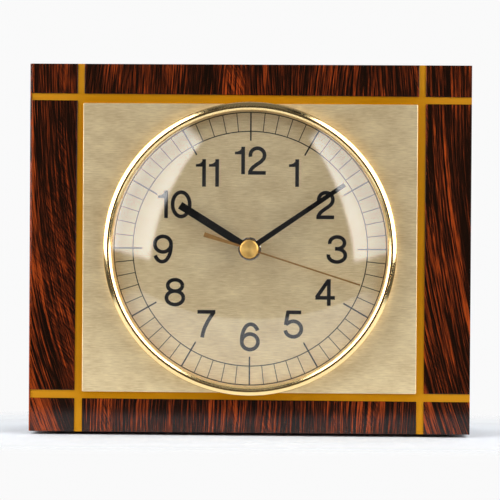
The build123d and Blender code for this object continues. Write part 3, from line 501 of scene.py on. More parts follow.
class Wire:
    """What a node puts out. Arithmetic with numbers and other wires adds Math nodes to its tree."""

    __array_ufunc__ = None  # numpy numbers leave the arithmetic to the wire
    __add__ = __radd__ = step("ADD")
    __sub__, __rsub__ = step("SUBTRACT"), step("SUBTRACT", True)
    __mul__, __pow__ = step("MULTIPLY"), step("POWER")
    __truediv__, __rtruediv__ = step("DIVIDE"), step("DIVIDE", True)
    __gt__, __lt__ = step("GREATER_THAN"), step("LESS_THAN")
    __abs__, root, at_least = step("ABSOLUTE"), step("SQRT"), step("MAXIMUM")

    def __init__(self, socket):
        self.socket, self.tree = socket, socket.id_data

    def spread(self, low, high, to_low=0.0, to_high=1.0):
        """Takes a value from one range to another, and keeps it inside."""
        sockets = {"Value": self, "From Min": low, "From Max": high, "To Min": to_low, "To Max": to_high}
        return put(self.tree, "MapRange", sockets)

    def drift(self, to_low=0.0, to_high=1.0):
        """Takes the range in which noise mostly lies to another."""
        return self.spread(0.3, 0.7, to_low, to_high)

    def scaled(self, share):
        """A place times a share."""
        return put(self.tree, "VectorMath", {0: self, "Scale": share}, operation="SCALE")

    def noise(self, scale=1.0, detail=2.0, roughness=0.5):
        """Smooth noise at a place."""
        sockets = {"Vector": self, "Scale": scale, "Detail": detail, "Roughness": roughness}
        return put(self.tree, "TexNoise", sockets)

    def feed(self, socket):
        """Leads the wire into a socket."""
        self.tree.links.new(self.socket, socket)


def add_node(tree, kind, sockets=(), **settings):
    """Adds a shader node, sets it, and fills its sockets with values or wires."""
    made = tree.nodes.new("ShaderNode" + kind)
    for name, value in settings.items():
        setattr(made, name, value)
    for name, value in dict(sockets).items():
        if isinstance(value, Wire):
            value.feed(made.inputs[name])
        else:
            made.inputs[name].default_value = value
    return made


def put(tree, kind, sockets=(), out=0, **settings):
    """Adds a shader node and gives one of its outputs."""
    return Wire(add_node(tree, kind, sockets, **settings).outputs[out])


def parted(place):
    """The three parts of a place."""
    return map(Wire, add_node(place.tree, "SeparateXYZ", {0: place}).outputs)


def ray(tree, kind):
    """Tells whether a ray is of a kind, such as Camera."""
    return put(tree, "LightPath", out=f"Is {kind} Ray")


def srgb(red, green, blue):
    """A colour as written on a screen, in the linear values that a shader takes."""
    share = np.array([red, green, blue]) / 255
    linear = np.where(share <= 0.04045, share / 12.92, ((share + 0.055) / 1.055) ** 2.4)
    return (*linear.tolist(), 1.0)


def ramp(value, *colours, places=None):
    """A row of colours that a value runs along, evenly spaced unless their places are given."""
    made = add_node(value.tree, "ValToRGB", {"Fac": value})
    elements = made.color_ramp.elements
    while len(elements) < len(colours):
        elements.new(0.5)
    for element, place, colour in zip(elements, places or np.linspace(0, 1, len(colours)), colours):
        element.position, element.color = place, srgb(*colour)
    return Wire(made.outputs[0])


def blend(share, *colours):
    """Mixes two colours, each a wire or as written on a screen."""
    first, second = (colour if isinstance(colour, Wire) else srgb(*colour) for colour in colours)
    return put(share.tree, "Mix", {0: share, 6: first, 7: second}, out=2, data_type="RGBA")


def between(share, first, second):
    """Mixes two values."""
    return put(share.tree, "Mix", {0: share, 2: first, 3: second}, data_type="FLOAT")


def new_group(name, inputs, outputs):
    """Starts a node group; gives its tree, its inputs as wires, and its output sockets."""
    tree = bpy.data.node_groups.new(name, "ShaderNodeTree")
    for socket, value in inputs.items():
        kind = "NodeSocketFloat" if isinstance(value, float) else "NodeSocketVector"
        tree.interface.new_socket(socket, in_out="INPUT", socket_type=kind).default_value = value
    for socket in outputs:
        tree.interface.new_socket(socket, in_out="OUTPUT", socket_type="NodeSocketFloat")
    given = {socket.name: Wire(socket) for socket in tree.nodes.new("NodeGroupInput").outputs}
    return tree, given, tree.nodes.new("NodeGroupOutput").inputs


def build_streaks():
    """Long streaks: noise read at a place whose across and along are each divided by their own
    feature size, once broad, once fine and once smooth."""
    inputs = {"Across": 0.0, "Along": 0.0, "Layer": 0.0, "Width": 1.0, "Length": 20.0}
    tree, given, wanted = new_group("long_streaks", inputs, ("Broad", "Fine", "Smooth"))
    across, along = given["Across"] / given["Width"], given["Along"] / given["Length"]
    place = put(tree, "CombineXYZ", {0: across, 1: along, 2: given["Layer"]})
    place.noise(1.0, 3.0, 0.6).feed(wanted["Broad"])
    place.noise(3.1, 2.0, 0.5).feed(wanted["Fine"])
    place.noise(1.0, 0.0).feed(wanted["Smooth"])
    return tree


def build_specks():
    """Specks and patches: fine noise cut off at a level gives specks, slow noise gives patches."""
    inputs = {"Place": (0.0, 0.0, 0.0), "Speck Size": 0.5, "Patch Size": 15.0, "Cut": 0.62}
    tree, given, wanted = new_group("specks_and_patches", inputs, ("Specks", "Patches", "Grain"))
    grain = given["Place"].scaled(1.0 / given["Speck Size"]).noise(1.0, 2.0, 0.5)
    patches = given["Place"].scaled(1.0 / given["Patch Size"]).noise(1.0, 3.0, 0.55)
    grain.spread(given["Cut"], given["Cut"] + 0.08).feed(wanted["Specks"])
    patches.feed(wanted["Patches"])
    grain.feed(wanted["Grain"])
    return tree


streaks_group = build_streaks()
specks_group = build_specks()


class Finish:
    """A material being built: its tree, its surface shader and places on the piece in millimetres."""

    def __init__(self, name, **sockets):
        self.material = bpy.data.materials.new(name)
        self.material.use_nodes = True
        self.tree = self.material.node_tree
        self.shader = self.tree.nodes["Principled BSDF"]
        for socket, value in sockets.items():
            self.shader.inputs[socket.replace("_", " ")].default_value = value
        self.place = put(self.tree, "TexCoord", out="Object").scaled(1 / MM)
        self.x, self.y, self.z = parted(self.place)

    def group(self, group, *values):
        """Places a shared group in this material, with its inputs in order."""
        made = add_node(self.tree, "Group", dict(enumerate(values)), node_tree=group)
        return {socket.name: Wire(socket) for socket in made.outputs}

    def streaks(self, across, along, layer, width, length):
        """Long streaks of a width and a length, in a layer of the noise."""
        return self.group(streaks_group, across, along, layer, width, length)

    def marks(self, speck, patch, cut=0.62):
        """Specks and patches of two sizes, and the level at which specks start."""
        return self.group(specks_group, self.place, speck, patch, cut)

    def link(self, value, socket):
        """Feeds a value into the surface shader."""
        value.feed(self.shader.inputs[socket])

    def bump(self, height, depth):
        """Raises the surface by a height times a depth in millimetres."""
        self.link(put(self.tree, "Bump", {"Height": height, "Distance": depth * MM, "Strength": 1.0}), "Normal")

    def dress(self, colour, grain, roughness, depth=None):
        """Gives the surface its colour, and a grain that moves its roughness and its height."""
        self.link(colour, "Base Color")
        self.link(grain.drift(*roughness), "Roughness")
        if depth:
            self.bump(grain, depth)
        return self.material


def speckled(name, dark, light, speck, patch, roughness, depth, **sockets):
    """A plain finish with life: patches drift between two colours, grain moves roughness and bump."""
    made = Finish(name, **sockets)
    marks = made.marks(speck, patch)
    return made.dress(blend(marks["Patches"].drift(), dark, light), marks["Grain"], roughness, depth)


def rosewood(name, across, along, figured=False, red_edge=no_red_edge, coat=1.0):
    """Lacquered rosewood: streaks of several widths on a swaying grain run along a row of browns, with
    thin dark lines and short dark pores, under a clear coat. Where it is figured, the grain of the left
    and right columns follows parabolas that open downwards, and is redder to the left of one of them.
    A side's front edge is redder too."""
    made = Finish(name, Roughness=0.5, Specular_IOR_Level=0.0, Coat_Weight=coat, Coat_Roughness=0.1,
                  Coat_IOR=1.36)
    u, v = getattr(made, across), getattr(made, along)
    bend = made.streaks(u, v, 4.0, 34.0, 90.0)["Smooth"]
    grain = u + bend.spread(*bend_range, *grain_sway)
    if figured:
        below_top = case_top - v
        in_column, in_right = abs(u) > figure_columns, u > figure_columns
        curl = below_top ** 2.0 * figure_curl * in_column
        curled = u + bend.spread(*bend_range, *column_sway) - curl
        grain = between(in_column, grain, curled)
        red_left = (curled + curl * 0.5).spread(*figure_left, *figure_left_red)
        red_left = red_left.at_least(below_top.spread(*figure_corner, *figure_corner_red)) * (u < 0.0)
        red_right = curled.spread(*figure_right, *figure_right_red) * in_right
        low_band = below_top.spread(*figure_low, *figure_low_red)
        redder = between(in_column, low_band, red_left.at_least(red_right))
    else:
        redder = u.spread(red_edge + edge_plain, red_edge + edge_deep, *edge_reds)
    narrow = made.streaks(grain, v, 1.0, 0.85, 30.0)
    middling = made.streaks(grain, v, 6.0, 3.6, 60.0)
    wide = made.streaks(grain, v, 2.0, 11.0, 140.0)
    pores = made.streaks(grain, v, 3.0, 0.3, 4.5)["Broad"]
    feather = made.streaks(grain + v * 0.55, v, 8.0, 0.8, 7.0)["Broad"]
    dark_lines = made.streaks(grain, v, 9.0, 1.1, 80.0)["Smooth"]
    if figured:
        redder = redder + middling["Smooth"].drift(*figure_right_bands) * in_right
    feathered = between(wide["Smooth"].spread(0.56, 0.68, 0.0, 0.8), 0.5, feather)
    shares = ((narrow["Broad"], 0.9), (narrow["Fine"], 0.6), (middling["Broad"], 0.4), (wide["Smooth"], 0.35),
              (feathered, 0.9))
    tone = sum((streak - 0.5) * share for streak, share in shares)
    tone = tone * redder.spread(0.0, 1.0, 0.85, 1.3) + (redder * 0.2 + 1.045)
    tone = tone - dark_lines.spread(0.38, 0.33, 0.0, 0.28) * redder.spread(0.0, 0.6)
    browns = ramp(tone.spread(0.895, 1.385), (16, 6, 2), (26, 9, 3), (50, 18, 6), (90, 33, 10), (142, 57, 18),
                  places=(0.0, 0.35, 0.54, 0.73, 1.0))
    made.link(blend(pores.spread(0.58, 0.68) * 0.6, browns, (16, 7, 4)), "Base Color")
    return made.material


def brushed_plate():
    """Brushed champagne metal: fine streaks along the plate and soft blotches move its colour, its
    roughness and its height."""
    made = Finish("brushed_plate", Metallic=0.75, Roughness=0.42, Anisotropic=0.6)
    made.link(put(made.tree, "CombineXYZ", {2: 1.0}), "Tangent")
    lines = made.streaks(made.z, made.x, 1.0, 0.48, 4.5)
    clouds = made.streaks(made.z, made.x, 5.0, 9.0, 16.0)["Broad"]
    tone = lines["Broad"] * 0.54 + clouds * 0.46
    metal = ramp(tone.drift(), (212, 185, 139), (255, 235, 189))
    colour = blend(made.marks(0.45, 9.0, 0.72)["Specks"] * 0.7, metal, (255, 250, 232))
    return made.dress(colour, lines["Fine"], (0.38, 0.5), 0.006)


def satin_gold_lines():
    """Deep satin gold: broad soft patches and fine specks over one even metal, with painted light: a painted
    sheen lightens the lines away from the plate, and beside the plate they stay darker as painted shade.
    """
    made = Finish("satin_gold_lines", Metallic=0.65, Roughness=0.45, Specular_IOR_Level=0.0)
    marks = made.marks(0.7, 24.0)
    gold = ramp(marks["Patches"].drift(), (180, 118, 8), (194, 133, 20))
    # Painted sheen: the lines turn a lighter gold away from the plate, and beside it they keep the darker gold
    # as painted shade from the plate
    painted_sheen_across = abs(made.x).spread(*painted_line_sheen_across)
    upwards = abs(made.z - dial_z).spread(*painted_line_sheen_up)
    colour = blend(painted_sheen_across.at_least(upwards), gold, (202, 139, 30))
    return made.dress(colour, marks["Grain"], (0.4, 0.52), 0.006)


def polished_gold():
    """Polished gold-coloured metal with faint tarnish in patches and specks."""
    made = Finish("polished_gold", Metallic=1.0, Roughness=0.08)
    marks = made.marks(0.5, 9.0, 0.66)
    tarnish = marks["Specks"] * marks["Patches"].spread(0.45, 0.65)
    made.link(blend(tarnish * 0.5, (252, 222, 160), (150, 112, 62)), "Base Color")
    made.link(marks["Patches"].drift(0.09, 0.16) + tarnish * 0.25, "Roughness")
    return made.material


def clear_glass():
    """Clear glass that lets lamp light through to the dial, with faint smears in its gloss."""
    made = Finish("clear_glass", Transmission_Weight=1.0, IOR=1.5, Base_Color=(1, 1, 1, 1), Roughness=0.0)
    tree = made.tree
    made.link(made.marks(1.2, 30.0)["Patches"].spread(0.5, 0.8, 0.0, 0.008), "Roughness")
    from_dial = ray(tree, "Diffuse").at_least(ray(tree, "Glossy")) * (
        put(tree, "LightPath", out="Transmission Depth") > 1.5)
    clear = ray(tree, "Shadow").at_least(from_dial)
    through = put(tree, "BsdfTransparent")
    both = put(tree, "MixShader", {0: clear, 1: Wire(made.shader.outputs[0]), 2: through})
    both.feed(tree.nodes["Material Output"].inputs["Surface"])
    return made.material


def turned_gold(name, dark, light):
    """Satin gold turned on a lathe: the gloss is drawn out along the radius."""
    made = Finish(name, Metallic=1.0, Roughness=0.42, Anisotropic=0.6)
    made.link(put(made.tree, "CombineXYZ", {0: made.x, 2: made.z - dial_z}), "Tangent")
    marks = made.marks(0.4, 3.0)
    return made.dress(ramp(marks["Patches"].drift(), dark, light), marks["Grain"], (0.42, 0.54))


def black_hand_paint():
    """Matte black paint with a fine tooth and a little dust."""
    made = Finish("black_hand_paint", Roughness=0.6, Specular_IOR_Level=0.08)
    marks = made.marks(0.5, 4.0, 0.66)
    dust = marks["Specks"] * marks["Patches"].spread(0.4, 0.7)
    return made.dress(blend(dust * 0.8, (10, 9, 9), (120, 108, 94)), marks["Grain"], (0.5, 0.7), 0.01)


def battery_wrap():
    """A plain film wrap with a pale positive end and light scuffs."""
    made = Finish("battery_wrap", Coat_Weight=0.5, Coat_Roughness=0.12)
    marks = made.marks(0.35, 9.0, 0.68)
    film = blend(marks["Patches"].drift(), (36, 58, 92), (44, 70, 106))
    film = blend(made.x.spread(*wrap_pale_end), film, (176, 178, 180))
    scuffed = blend(marks["Specks"] * 0.4, film, (150, 156, 164))
    return made.dress(scuffed, marks["Grain"], (0.25, 0.4), 0.006)


def chipboard():
    """Raw pressed board: flattened chips of several browns in a fine ground, with dark gaps."""
    made = Finish("chipboard", Roughness=0.85, Specular_IOR_Level=0.2)
    tree = made.tree
    jitter = put(tree, "TexNoise", {"Vector": made.place, "Scale": 0.6, "Detail": 1.0}, out="Color")
    moved = put(tree, "VectorMath", {0: made.place, 1: jitter}, operation="ADD")
    cells = [put(tree, "TexVoronoi", {"Vector": moved, "Scale": scale, "Randomness": 1.0}, out="Color")
             for scale in (0.7, 1.9)]
    tone = sum(put(tree, "SeparateColor", {0: cell}, out=channel) * 0.5 for channel, cell in enumerate(cells))
    marks = made.marks(0.35, 8.0, 0.6)
    colours = ramp(tone, (118, 88, 56), (160, 126, 84), (190, 158, 112))
    made.link(blend(marks["Specks"] * 0.55, colours, (92, 66, 40)), "Base Color")
    made.bump(tone + marks["Grain"], 0.1)
    return made.material


def hardboard():
    """Brown hardboard: matted short fibres over slow drifts of tone."""
    made = Finish("hardboard", Roughness=0.75)
    up = made.streaks(made.x, made.z, 1.0, 0.5, 3.0)["Broad"]
    over = made.streaks(made.z, made.x, 2.0, 0.5, 3.0)["Broad"]
    marks = made.marks(0.6, 26.0, 0.64)
    fibre = up.at_least(over)
    tone = fibre * 0.6 + marks["Patches"] * 0.4
    colours = ramp(tone.spread(0.35, 0.7), (92, 62, 40), (122, 84, 54), (150, 108, 70))
    made.link(blend(marks["Specks"] * 0.5, colours, (60, 40, 26)), "Base Color")
    made.link(fibre.spread(0.4, 0.7, 0.65, 0.85), "Roughness")
    made.bump(fibre, 0.08)
    return made.material


rosewood_front = rosewood("rosewood_front", "x", "z", figured=True)
rosewood_side = rosewood("rosewood_side", "y", "z", red_edge=front_y)
rosewood_top = rosewood("rosewood_top", "x", "y", coat=0.16)
needle_bronze = turned_gold("needle_bronze", (146, 108, 60), (168, 128, 76))
ink = speckled("printed_ink", (14, 13, 14), (26, 24, 25), 0.3, 5.0, (0.35, 0.5), 0.004, Specular_IOR_Level=0.2)

slot_materials = {
    "chipboard": chipboard(),
    "hardboard": hardboard(),
    "gold_sheet": satin_gold_lines(),
    "dial_plate": brushed_plate(),
    "bezel_gold": polished_gold(),
    "glass": clear_glass(),
    "hand_black": black_hand_paint(),
    "hand_gold": turned_gold("turned_gold", (244, 192, 104), (254, 210, 124)),
    "battery_sleeve": battery_wrap(),
    "felt": speckled("black_felt", (20, 19, 19), (40, 38, 37), 0.3, 3.0, (0.9, 1.0), 0.15, Sheen_Weight=0.4),
}

# Plain finishes: colours, sizes of specks and patches, roughness, depth of the grain, how metallic
for slot, *finish, metallic in (
    ("brass", "turned_brass", (198, 158, 84), (222, 184, 110), 0.4, 6.0, (0.2, 0.32), 0.003, 1.0),
    ("steel", "bright_steel", (196, 196, 198), (218, 218, 220), 0.4, 6.0, (0.14, 0.28), 0.003, 1.0),
    ("motor_iron", "stamped_iron", (112, 112, 116), (140, 140, 142), 0.5, 5.0, (0.35, 0.5), 0.01, 1.0),
    ("magnet", "sintered_magnet", (52, 52, 55), (70, 70, 74), 0.3, 3.0, (0.5, 0.7), 0.02, 0.6),
    ("copper_wire", "copper_winding", (168, 86, 46), (204, 116, 66), 0.3, 2.0, (0.25, 0.4), 0.03, 1.0),
    ("gear_plastic", "ivory_gear_plastic", (222, 216, 196), (234, 229, 212), 0.5, 8.0, (0.35, 0.5), 0.01, 0.0),
    ("housing_plastic", "black_housing_plastic", (32, 32, 34), (44, 44, 47), 0.35, 22.0, (0.42, 0.6), 0.03,
     0.0),
    ("knob_plastic", "ivory_knob_plastic", (214, 208, 190), (228, 223, 208), 0.4, 6.0, (0.35, 0.5), 0.015, 0.0),
    ("circuit_board", "phenolic_board", (142, 104, 54), (164, 124, 70), 0.4, 6.0, (0.4, 0.55), 0.01, 0.0),
    ("chip_plastic", "chip_epoxy", (24, 24, 25), (34, 34, 36), 0.3, 3.0, (0.4, 0.6), 0.01, 0.0),
    ("rubber", "black_rubber", (26, 26, 26), (38, 38, 38), 0.4, 5.0, (0.7, 0.85), 0.02, 0.0),
):
    slot_materials[slot] = speckled(*finish, Metallic=metallic)

# CAD nodes that stay: each one takes the finish of its slot
slot_of = {part["node"]: part["material_slot"] for part in frame["record"]["subparts"]}
for node, slot in slot_of.items():
    if slot in slot_materials:
        for material_slot in frame["nodes"][node].material_slots:
            material_slot.material = slot_materials[slot]

# Veneers: blocks with eased edges, the grain upright on the front and the sides
front_tiles = [f"corner_veneer_{height}_{side}" for height in ("bottom", "top") for side in ("left", "right")]
front_tiles += [f"band_veneer_{side}" for side in ("bottom", "top", "left", "right")]
veneer_finishes = dict.fromkeys(front_tiles, rosewood_front)
veneer_finishes |= dict.fromkeys(("left_side_veneer", "right_side_veneer"), rosewood_side)
veneer_finishes |= dict.fromkeys(("top_veneer", "bottom_veneer"), rosewood_top)


def laid(surface, low, high, column, row):
    """A front tile as it was laid: each side moves by its shift and its lean, and between two sides
    the move goes evenly from one to the other."""
    points, faces = surface
    x, y, z = points.T
    from_left, from_bottom = (x - low[0]) / (high[0] - low[0]), (z - low[2]) / (high[2] - low[2])
    left, right = (shift + lean * (z - dial_z) for shift, lean in veneer_columns[column])
    bottom, top = (shift + lean * x for shift, lean in veneer_rows[row])
    return join(x + left + (right - left) * from_left, y, z + bottom + (top - bottom) * from_bottom), faces


for veneer, finish in veneer_finishes.items():
    low, high = box_mm(veneer)
    block = eased_block(low, high, veneer_ease)
    if veneer in front_tiles:
        column = next((side for side in ("left", "right") if side in veneer), "middle")
        row = next((side for side in ("bottom", "top") if side in veneer), "middle")
        block = laid(block, low, high, column, row)
    add_piece(veneer + "_eased", [block], "case", "rosewood", [veneer], finish, weighted=True)

# Dial plate
plate_corners = [np.array([plate_low[0], plate_low[2] - dial_z]),
                 np.array([plate_high[0] - plate_draw_right, plate_high[2] - plate_draw_top - dial_z])]
plate = rolled_plate(*plate_corners, plate_hole, plate_roll, plate_corner, plate_high[1] - plate_low[1])
add_piece("dial_plate_rolled", [plate], "case", "dial_plate", ["dial_plate"], weighted=True)

# Bezel: a wall, a flank, a groove and an inner flank down to the lip over the glass
bezel_outer = (bezel_high[0] - bezel_low[0]) / 2 - bezel_draw
bezel_profile = eased(
    [(bezel_outer, 0), (bezel_outer, bezel_wall_top), (bezel_groove_outer, bezel_crest),
     (bezel_groove_outer, bezel_groove_floor), (bezel_groove_inner, bezel_groove_floor),
     (bezel_groove_inner, bezel_crest), (bezel_opening, bezel_lip_over), (bezel_opening, bezel_lip_under),
     (bezel_room, bezel_room_top), (bezel_room, bezel_seat), (bezel_ledge, bezel_seat), (bezel_ledge, 0)],
    [bezel_edge, bezel_shoulder, bezel_brink, bezel_edge, bezel_edge, bezel_inner_brink, bezel_lip_round]
    + [bezel_edge] * 5,
)
bezel = on_dial(turned(bezel_profile, steps=360), dial_at)
add_piece("polished_bezel", [bezel], "case", "bezel_gold", ["bezel_ring"], sharp=60)

# Glass: two spheres about one centre, joined at the edge
glass_centre = bezel_seat - sqrt(glass_inner_sphere**2 - glass_edge**2)
glass_faces = []
for sphere, way in ((glass_outer_sphere, 1), (glass_inner_sphere, -1)):
    tilt = np.linspace(0, asin(glass_edge / sphere), 60)[::way]
    glass_faces.append(join(sphere * np.sin(tilt), glass_centre + sphere * np.cos(tilt)))
dome = on_dial(turned(np.concatenate(glass_faces), False, steps=256), dial_at)
add_piece("domed_glass", [dome], "case", "glass", ["glass_dome"], sharp=50)


# Dial print: rings, marks and numbers

def ring(radius, width):
    """A flat printed circle."""
    low, high = radius - width / 2, radius + width / 2
    corners = line((low, 0), (high, 0), (high, print_thickness), (low, print_thickness))
    return on_dial(turned(corners, steps=360), dial_at)


def dial_marks(angles, start, end, width):
    """Straight printed marks between two radii, at angles clockwise from twelve."""
    angles = np.radians(angles)
    out = join(np.sin(angles), np.cos(angles))[:, None]
    side = join(np.cos(angles), -np.sin(angles))[:, None]
    middle = np.array(dial_at) + out * np.array([start, end])[None, :, None]
    left, right = middle + side * width / 2, middle - side * width / 2
    return [ribbon(a, b, print_thickness, print_thickness) for a, b in zip(left, right)]


minute_angles = [6 * minute for minute in range(60) if minute % 5]
hour_angles = [30 * hour for hour in range(12)]
track = [ring(inner_circle, circle_width), ring(outer_circle, circle_width)]
track += dial_marks(minute_angles, inner_circle, outer_circle, minute_mark_width)
track += dial_marks(hour_angles, hour_mark_start, outer_circle, hour_mark_width)
add_piece("minute_track", track, "case", "dial_plate", material=ink)

# Pen paths of the digits, each in its own box of a width and a height
six_back = flow((0.75, 4.01), (0.75, 5.39), (1.08, 7.54), (1.81, 9.48), (3.02, 11.03), (4.57, 11.51),
                (5.99, 11.03), (7.03, 9.87), (7.46, 8.84))
six_bowl = bow((4.2, 4.01), (3.47, 3.32), 0, 360, 72)
six_box = (8.45, 12.1)
digit_boxes = {"0": (8.7, 11.75), "1": (4.2, 11.77), "2": (7.72, 11.8), "3": (8.7, 11.9), "4": (8.45, 11.5),
               "5": (8.36, 11.8), "6": six_box, "7": (7.76, 11.6), "8": (8.62, 11.8), "9": six_box}
digit_paths = {
    "0": [bow((4.35, 5.87), (3.67, 5.2), 0, 360, 72)],
    "1": [line((3.53, 0), (3.53, 11.77))],
    "2": [np.concatenate([bow((3.97, 8.15), (3.02, 3.0), 193, -34),
                          flow((5.55, 5.45), (3.4, 3.97), (1.98, 2.84), (1.12, 1.68), (0.75, 0.43))]),
          line((0, 0.63), (7.59, 0.63))],
    "3": [np.concatenate([bow((4.4, 8.75), (3.15, 2.54), 190, -90), line((3.49, 6.21))]),
          np.concatenate([line((3.49, 6.21)), bow((4.31, 3.4), (3.62, 2.8), 90, -188, 60)])],
    "4": [line((5.86, 0), (5.86, 11.4)), line((5.6, 10.8), (0.6, 3.5)), line((0.1, 3.39), (8.45, 3.39))],
    "5": [line((1.45, 11.12), (7.59, 11.12)), line((2.0, 11.6), (0.99, 5.65)),
          np.concatenate([line((1.1, 5.95)), bow((4.22, 3.97), (3.45, 3.32), 130, -170, 60)])],
    "6": [six_back, six_bowl],
    "7": [line((0, 10.95), (7.7, 10.95)),
          flow((7.15, 10.95), (5.99, 9.31), (4.61, 7.11), (3.19, 4.22), (2.46, 1.94), (2.11, 0))],
    "8": [bow((4.35, 8.79), (3.15, 2.44), 0, 360, 72), bow((4.31, 3.49), (3.62, 2.89), 0, 360, 72)],
    "9": [np.array(six_box) - six_back, np.array(six_box) - six_bowl],
}
one_flag_top = flow((0, 9.61), (1.29, 9.78), (2.24, 10.3), (2.8, 10.99), (3.06, 11.77))
one_flag_foot = join(one_flag_top[:, 0], 8.5)


def number_ribbons(text, middle):
    """The pen strokes of a number, its box centred on a place on the dial. Each stroke lies a hair
    above the last, so that no two faces lie in one plane."""
    gap = number_gap.get(text, 0.0)
    width = sum(digit_boxes[digit][0] for digit in text) + gap * (len(text) - 1)
    corner = np.array(middle) - np.array([width, digit_boxes[text[-1]][1]]) / 2
    made = []
    for digit in text:
        edges = [stroke(path, number_stroke) for path in digit_paths[digit]]
        if digit == "1":
            edges.append((one_flag_top, one_flag_foot))
        for layer, (a, b) in enumerate(edges):
            made.append(ribbon(a + corner, b + corner, print_thickness * (1 + layer / 8), print_thickness))
        corner = corner + np.array([digit_boxes[digit][0] + gap, 0])
    return made


numbers = []
for hour in range(1, 13):
    turn = radians(30 * hour)
    nudge_x, nudge_z = number_nudges[hour]
    numbers += number_ribbons(str(hour), (number_ring * sin(turn) + nudge_x, number_ring * cos(turn) + nudge_z))
add_piece("dial_numbers", numbers, "case", "dial_plate", material=ink)


# Hands

def standing(node):
    """How far a node's front and back stand in front of the plate, and half its width."""
    low, high = box_mm(node)
    return plate_y - low[1], plate_y - high[1], (high[0] - low[0]) / 2


def collet(node, outer, inner):
    """The tube that carries a hand, between the front and the back of its node."""
    front, back, _ = standing(node)
    corners = [(inner, back), (outer, back), (outer, front), (inner, front)]
    return on_dial(turned(eased(corners, collet_ease), steps=96))


for name, node, slot, blades, radii, material in (
    ("hour_baton", "hour_hand", "hand_black", [hour_blade], hour_collet, None),
    ("minute_baton", "minute_hand", "hand_black", [minute_blade], minute_collet, None),
    ("second_needle", "second_hand", "hand_gold", [second_blade, second_tail], second_collet, needle_bronze),
):
    hand = [baton(**blade) for blade in blades] + [collet(node, *radii)]
    add_piece(name, hand, node, slot, [node], material, weighted=True)

cap_front, cap_back, cap_half = standing("second_hand_cap")
cap_radius, cap_floor = cap_half - cap_draw, cap_back + cap_bore_depth
cap_profile = np.concatenate([
    line((0, cap_front - cap_sink), (cap_radius - cap_flat, cap_front - cap_sink)),
    bow((cap_radius - cap_round, cap_front - cap_round), (cap_round, cap_round), 90, 0, 12),
    line((cap_radius, cap_back), (cap_bore, cap_back), (cap_bore, cap_floor), (0, cap_floor)),
])
cap = on_dial(turned(cap_profile, False, steps=128))
add_piece("turned_cap", [cap], "second_hand", "hand_gold", ["second_hand_cap"])

nut_front, nut_back, nut_half = standing("centre_nut")
nut = slotted_nut(nut_half - nut_draw, nut_back, nut_front)
add_piece("slotted_centre_nut", [on_dial(nut)], "case", "steel", ["centre_nut"])

# Setting knob with a knurled edge
knob_at = ((knob_low[0] + knob_high[0]) / 2, (knob_low[2] + knob_high[2]) / 2 - dial_z)
knob_front, knob_back, _ = standing("setting_knob")
knob_floor = knob_back + knob_face
knob_profile = eased([(knob_bore, knob_front), (knob_radius, knob_front), (knob_radius, knob_back),
                      (turning_core, knob_back), (turning_core, knob_floor), (knob_bore, knob_floor)],
                     knob_eases, 8)
knob = turned(knob_profile, True, 12 * knob_ribs, knob_ribs, knob_rib_depth, knob_rib_start)
add_piece("knurled_setting_knob", [on_dial(knob, knob_at)], "setting_knob", "knob_plastic", ["setting_knob"])

# Battery cell: a wrapped sleeve curled over the rims of a steel can
cell_left, cell_right = cell_low[0], cell_high[0]
cell_shoulder = cell_right - cell_nub_height
cell_radius = (cell_high[2] - cell_low[2]) / 2


def on_cell(profile):
    """Sets a turned profile of radii and places along the cell on the cell's axis."""
    points, faces = turned(profile, steps=128)
    middle = (cell_low + cell_high) / 2
    return join(points[:, 2], points[:, 0] + middle[1], points[:, 1] + middle[2]), faces


wrap_left, wrap_right = cell_left + wrap_end, cell_shoulder - wrap_end
film_left, film_right = cell_left + wrap_inside, cell_shoulder - wrap_inside
film_radius = cell_radius - wrap_inside
sleeve_profile = eased(
    [(cell_curl, wrap_left), (cell_radius, wrap_left), (cell_radius, wrap_right), (cell_curl, wrap_right),
     (cell_curl, film_right), (film_radius, film_right), (film_radius, film_left), (cell_curl, film_left)],
    wrap_eases,
)
can_radius, can_left, can_right = cell_radius - can_inside, cell_left + can_step, cell_shoulder - can_inside
nub_foot = cell_shoulder - nub_sink
can_profile = eased(
    [(turning_core, cell_left), (cell_pole, cell_left), (cell_pole + can_step, can_left),
     (can_radius, can_left), (can_radius, can_right), (cell_nub + nub_skirt, can_right),
     (cell_nub + nub_skirt_top, nub_foot), (cell_nub, nub_foot), (cell_nub, cell_right),
     (turning_core, cell_right)],
    can_eases,
)
add_piece("battery_wrap", [on_cell(sleeve_profile)], "battery", "battery_sleeve", ["battery_cell"], sharp=60)
add_piece("battery_can", [on_cell(can_profile)], "battery", "steel", ["battery_cell"], sharp=60)

# Felt feet: discs whose cut rim is slightly uneven
foot_profile = eased([(turning_core, feet_low[2]), (foot_radius, feet_low[2]), (foot_radius, feet_high[2]),
                      (turning_core, feet_high[2])], foot_eases)
foot_disc, foot_faces = turned(foot_profile, True, 96, foot_waves, foot_wave_depth, foot_radius - foot_rim)
feet = [(foot_disc + np.array([x, y, 0]), foot_faces)
        for x in (feet_low[0] + foot_radius, feet_high[0] - foot_radius)
        for y in (feet_low[1] + foot_radius, feet_high[1] - foot_radius)]
add_piece("felt_feet", feet, "case", "felt", ["foot_pads"])

# Back of the clock: the CAD pieces with softened edges
for node, ease in back_eases.items():
    add_eased(node, slot_of[node], ease)

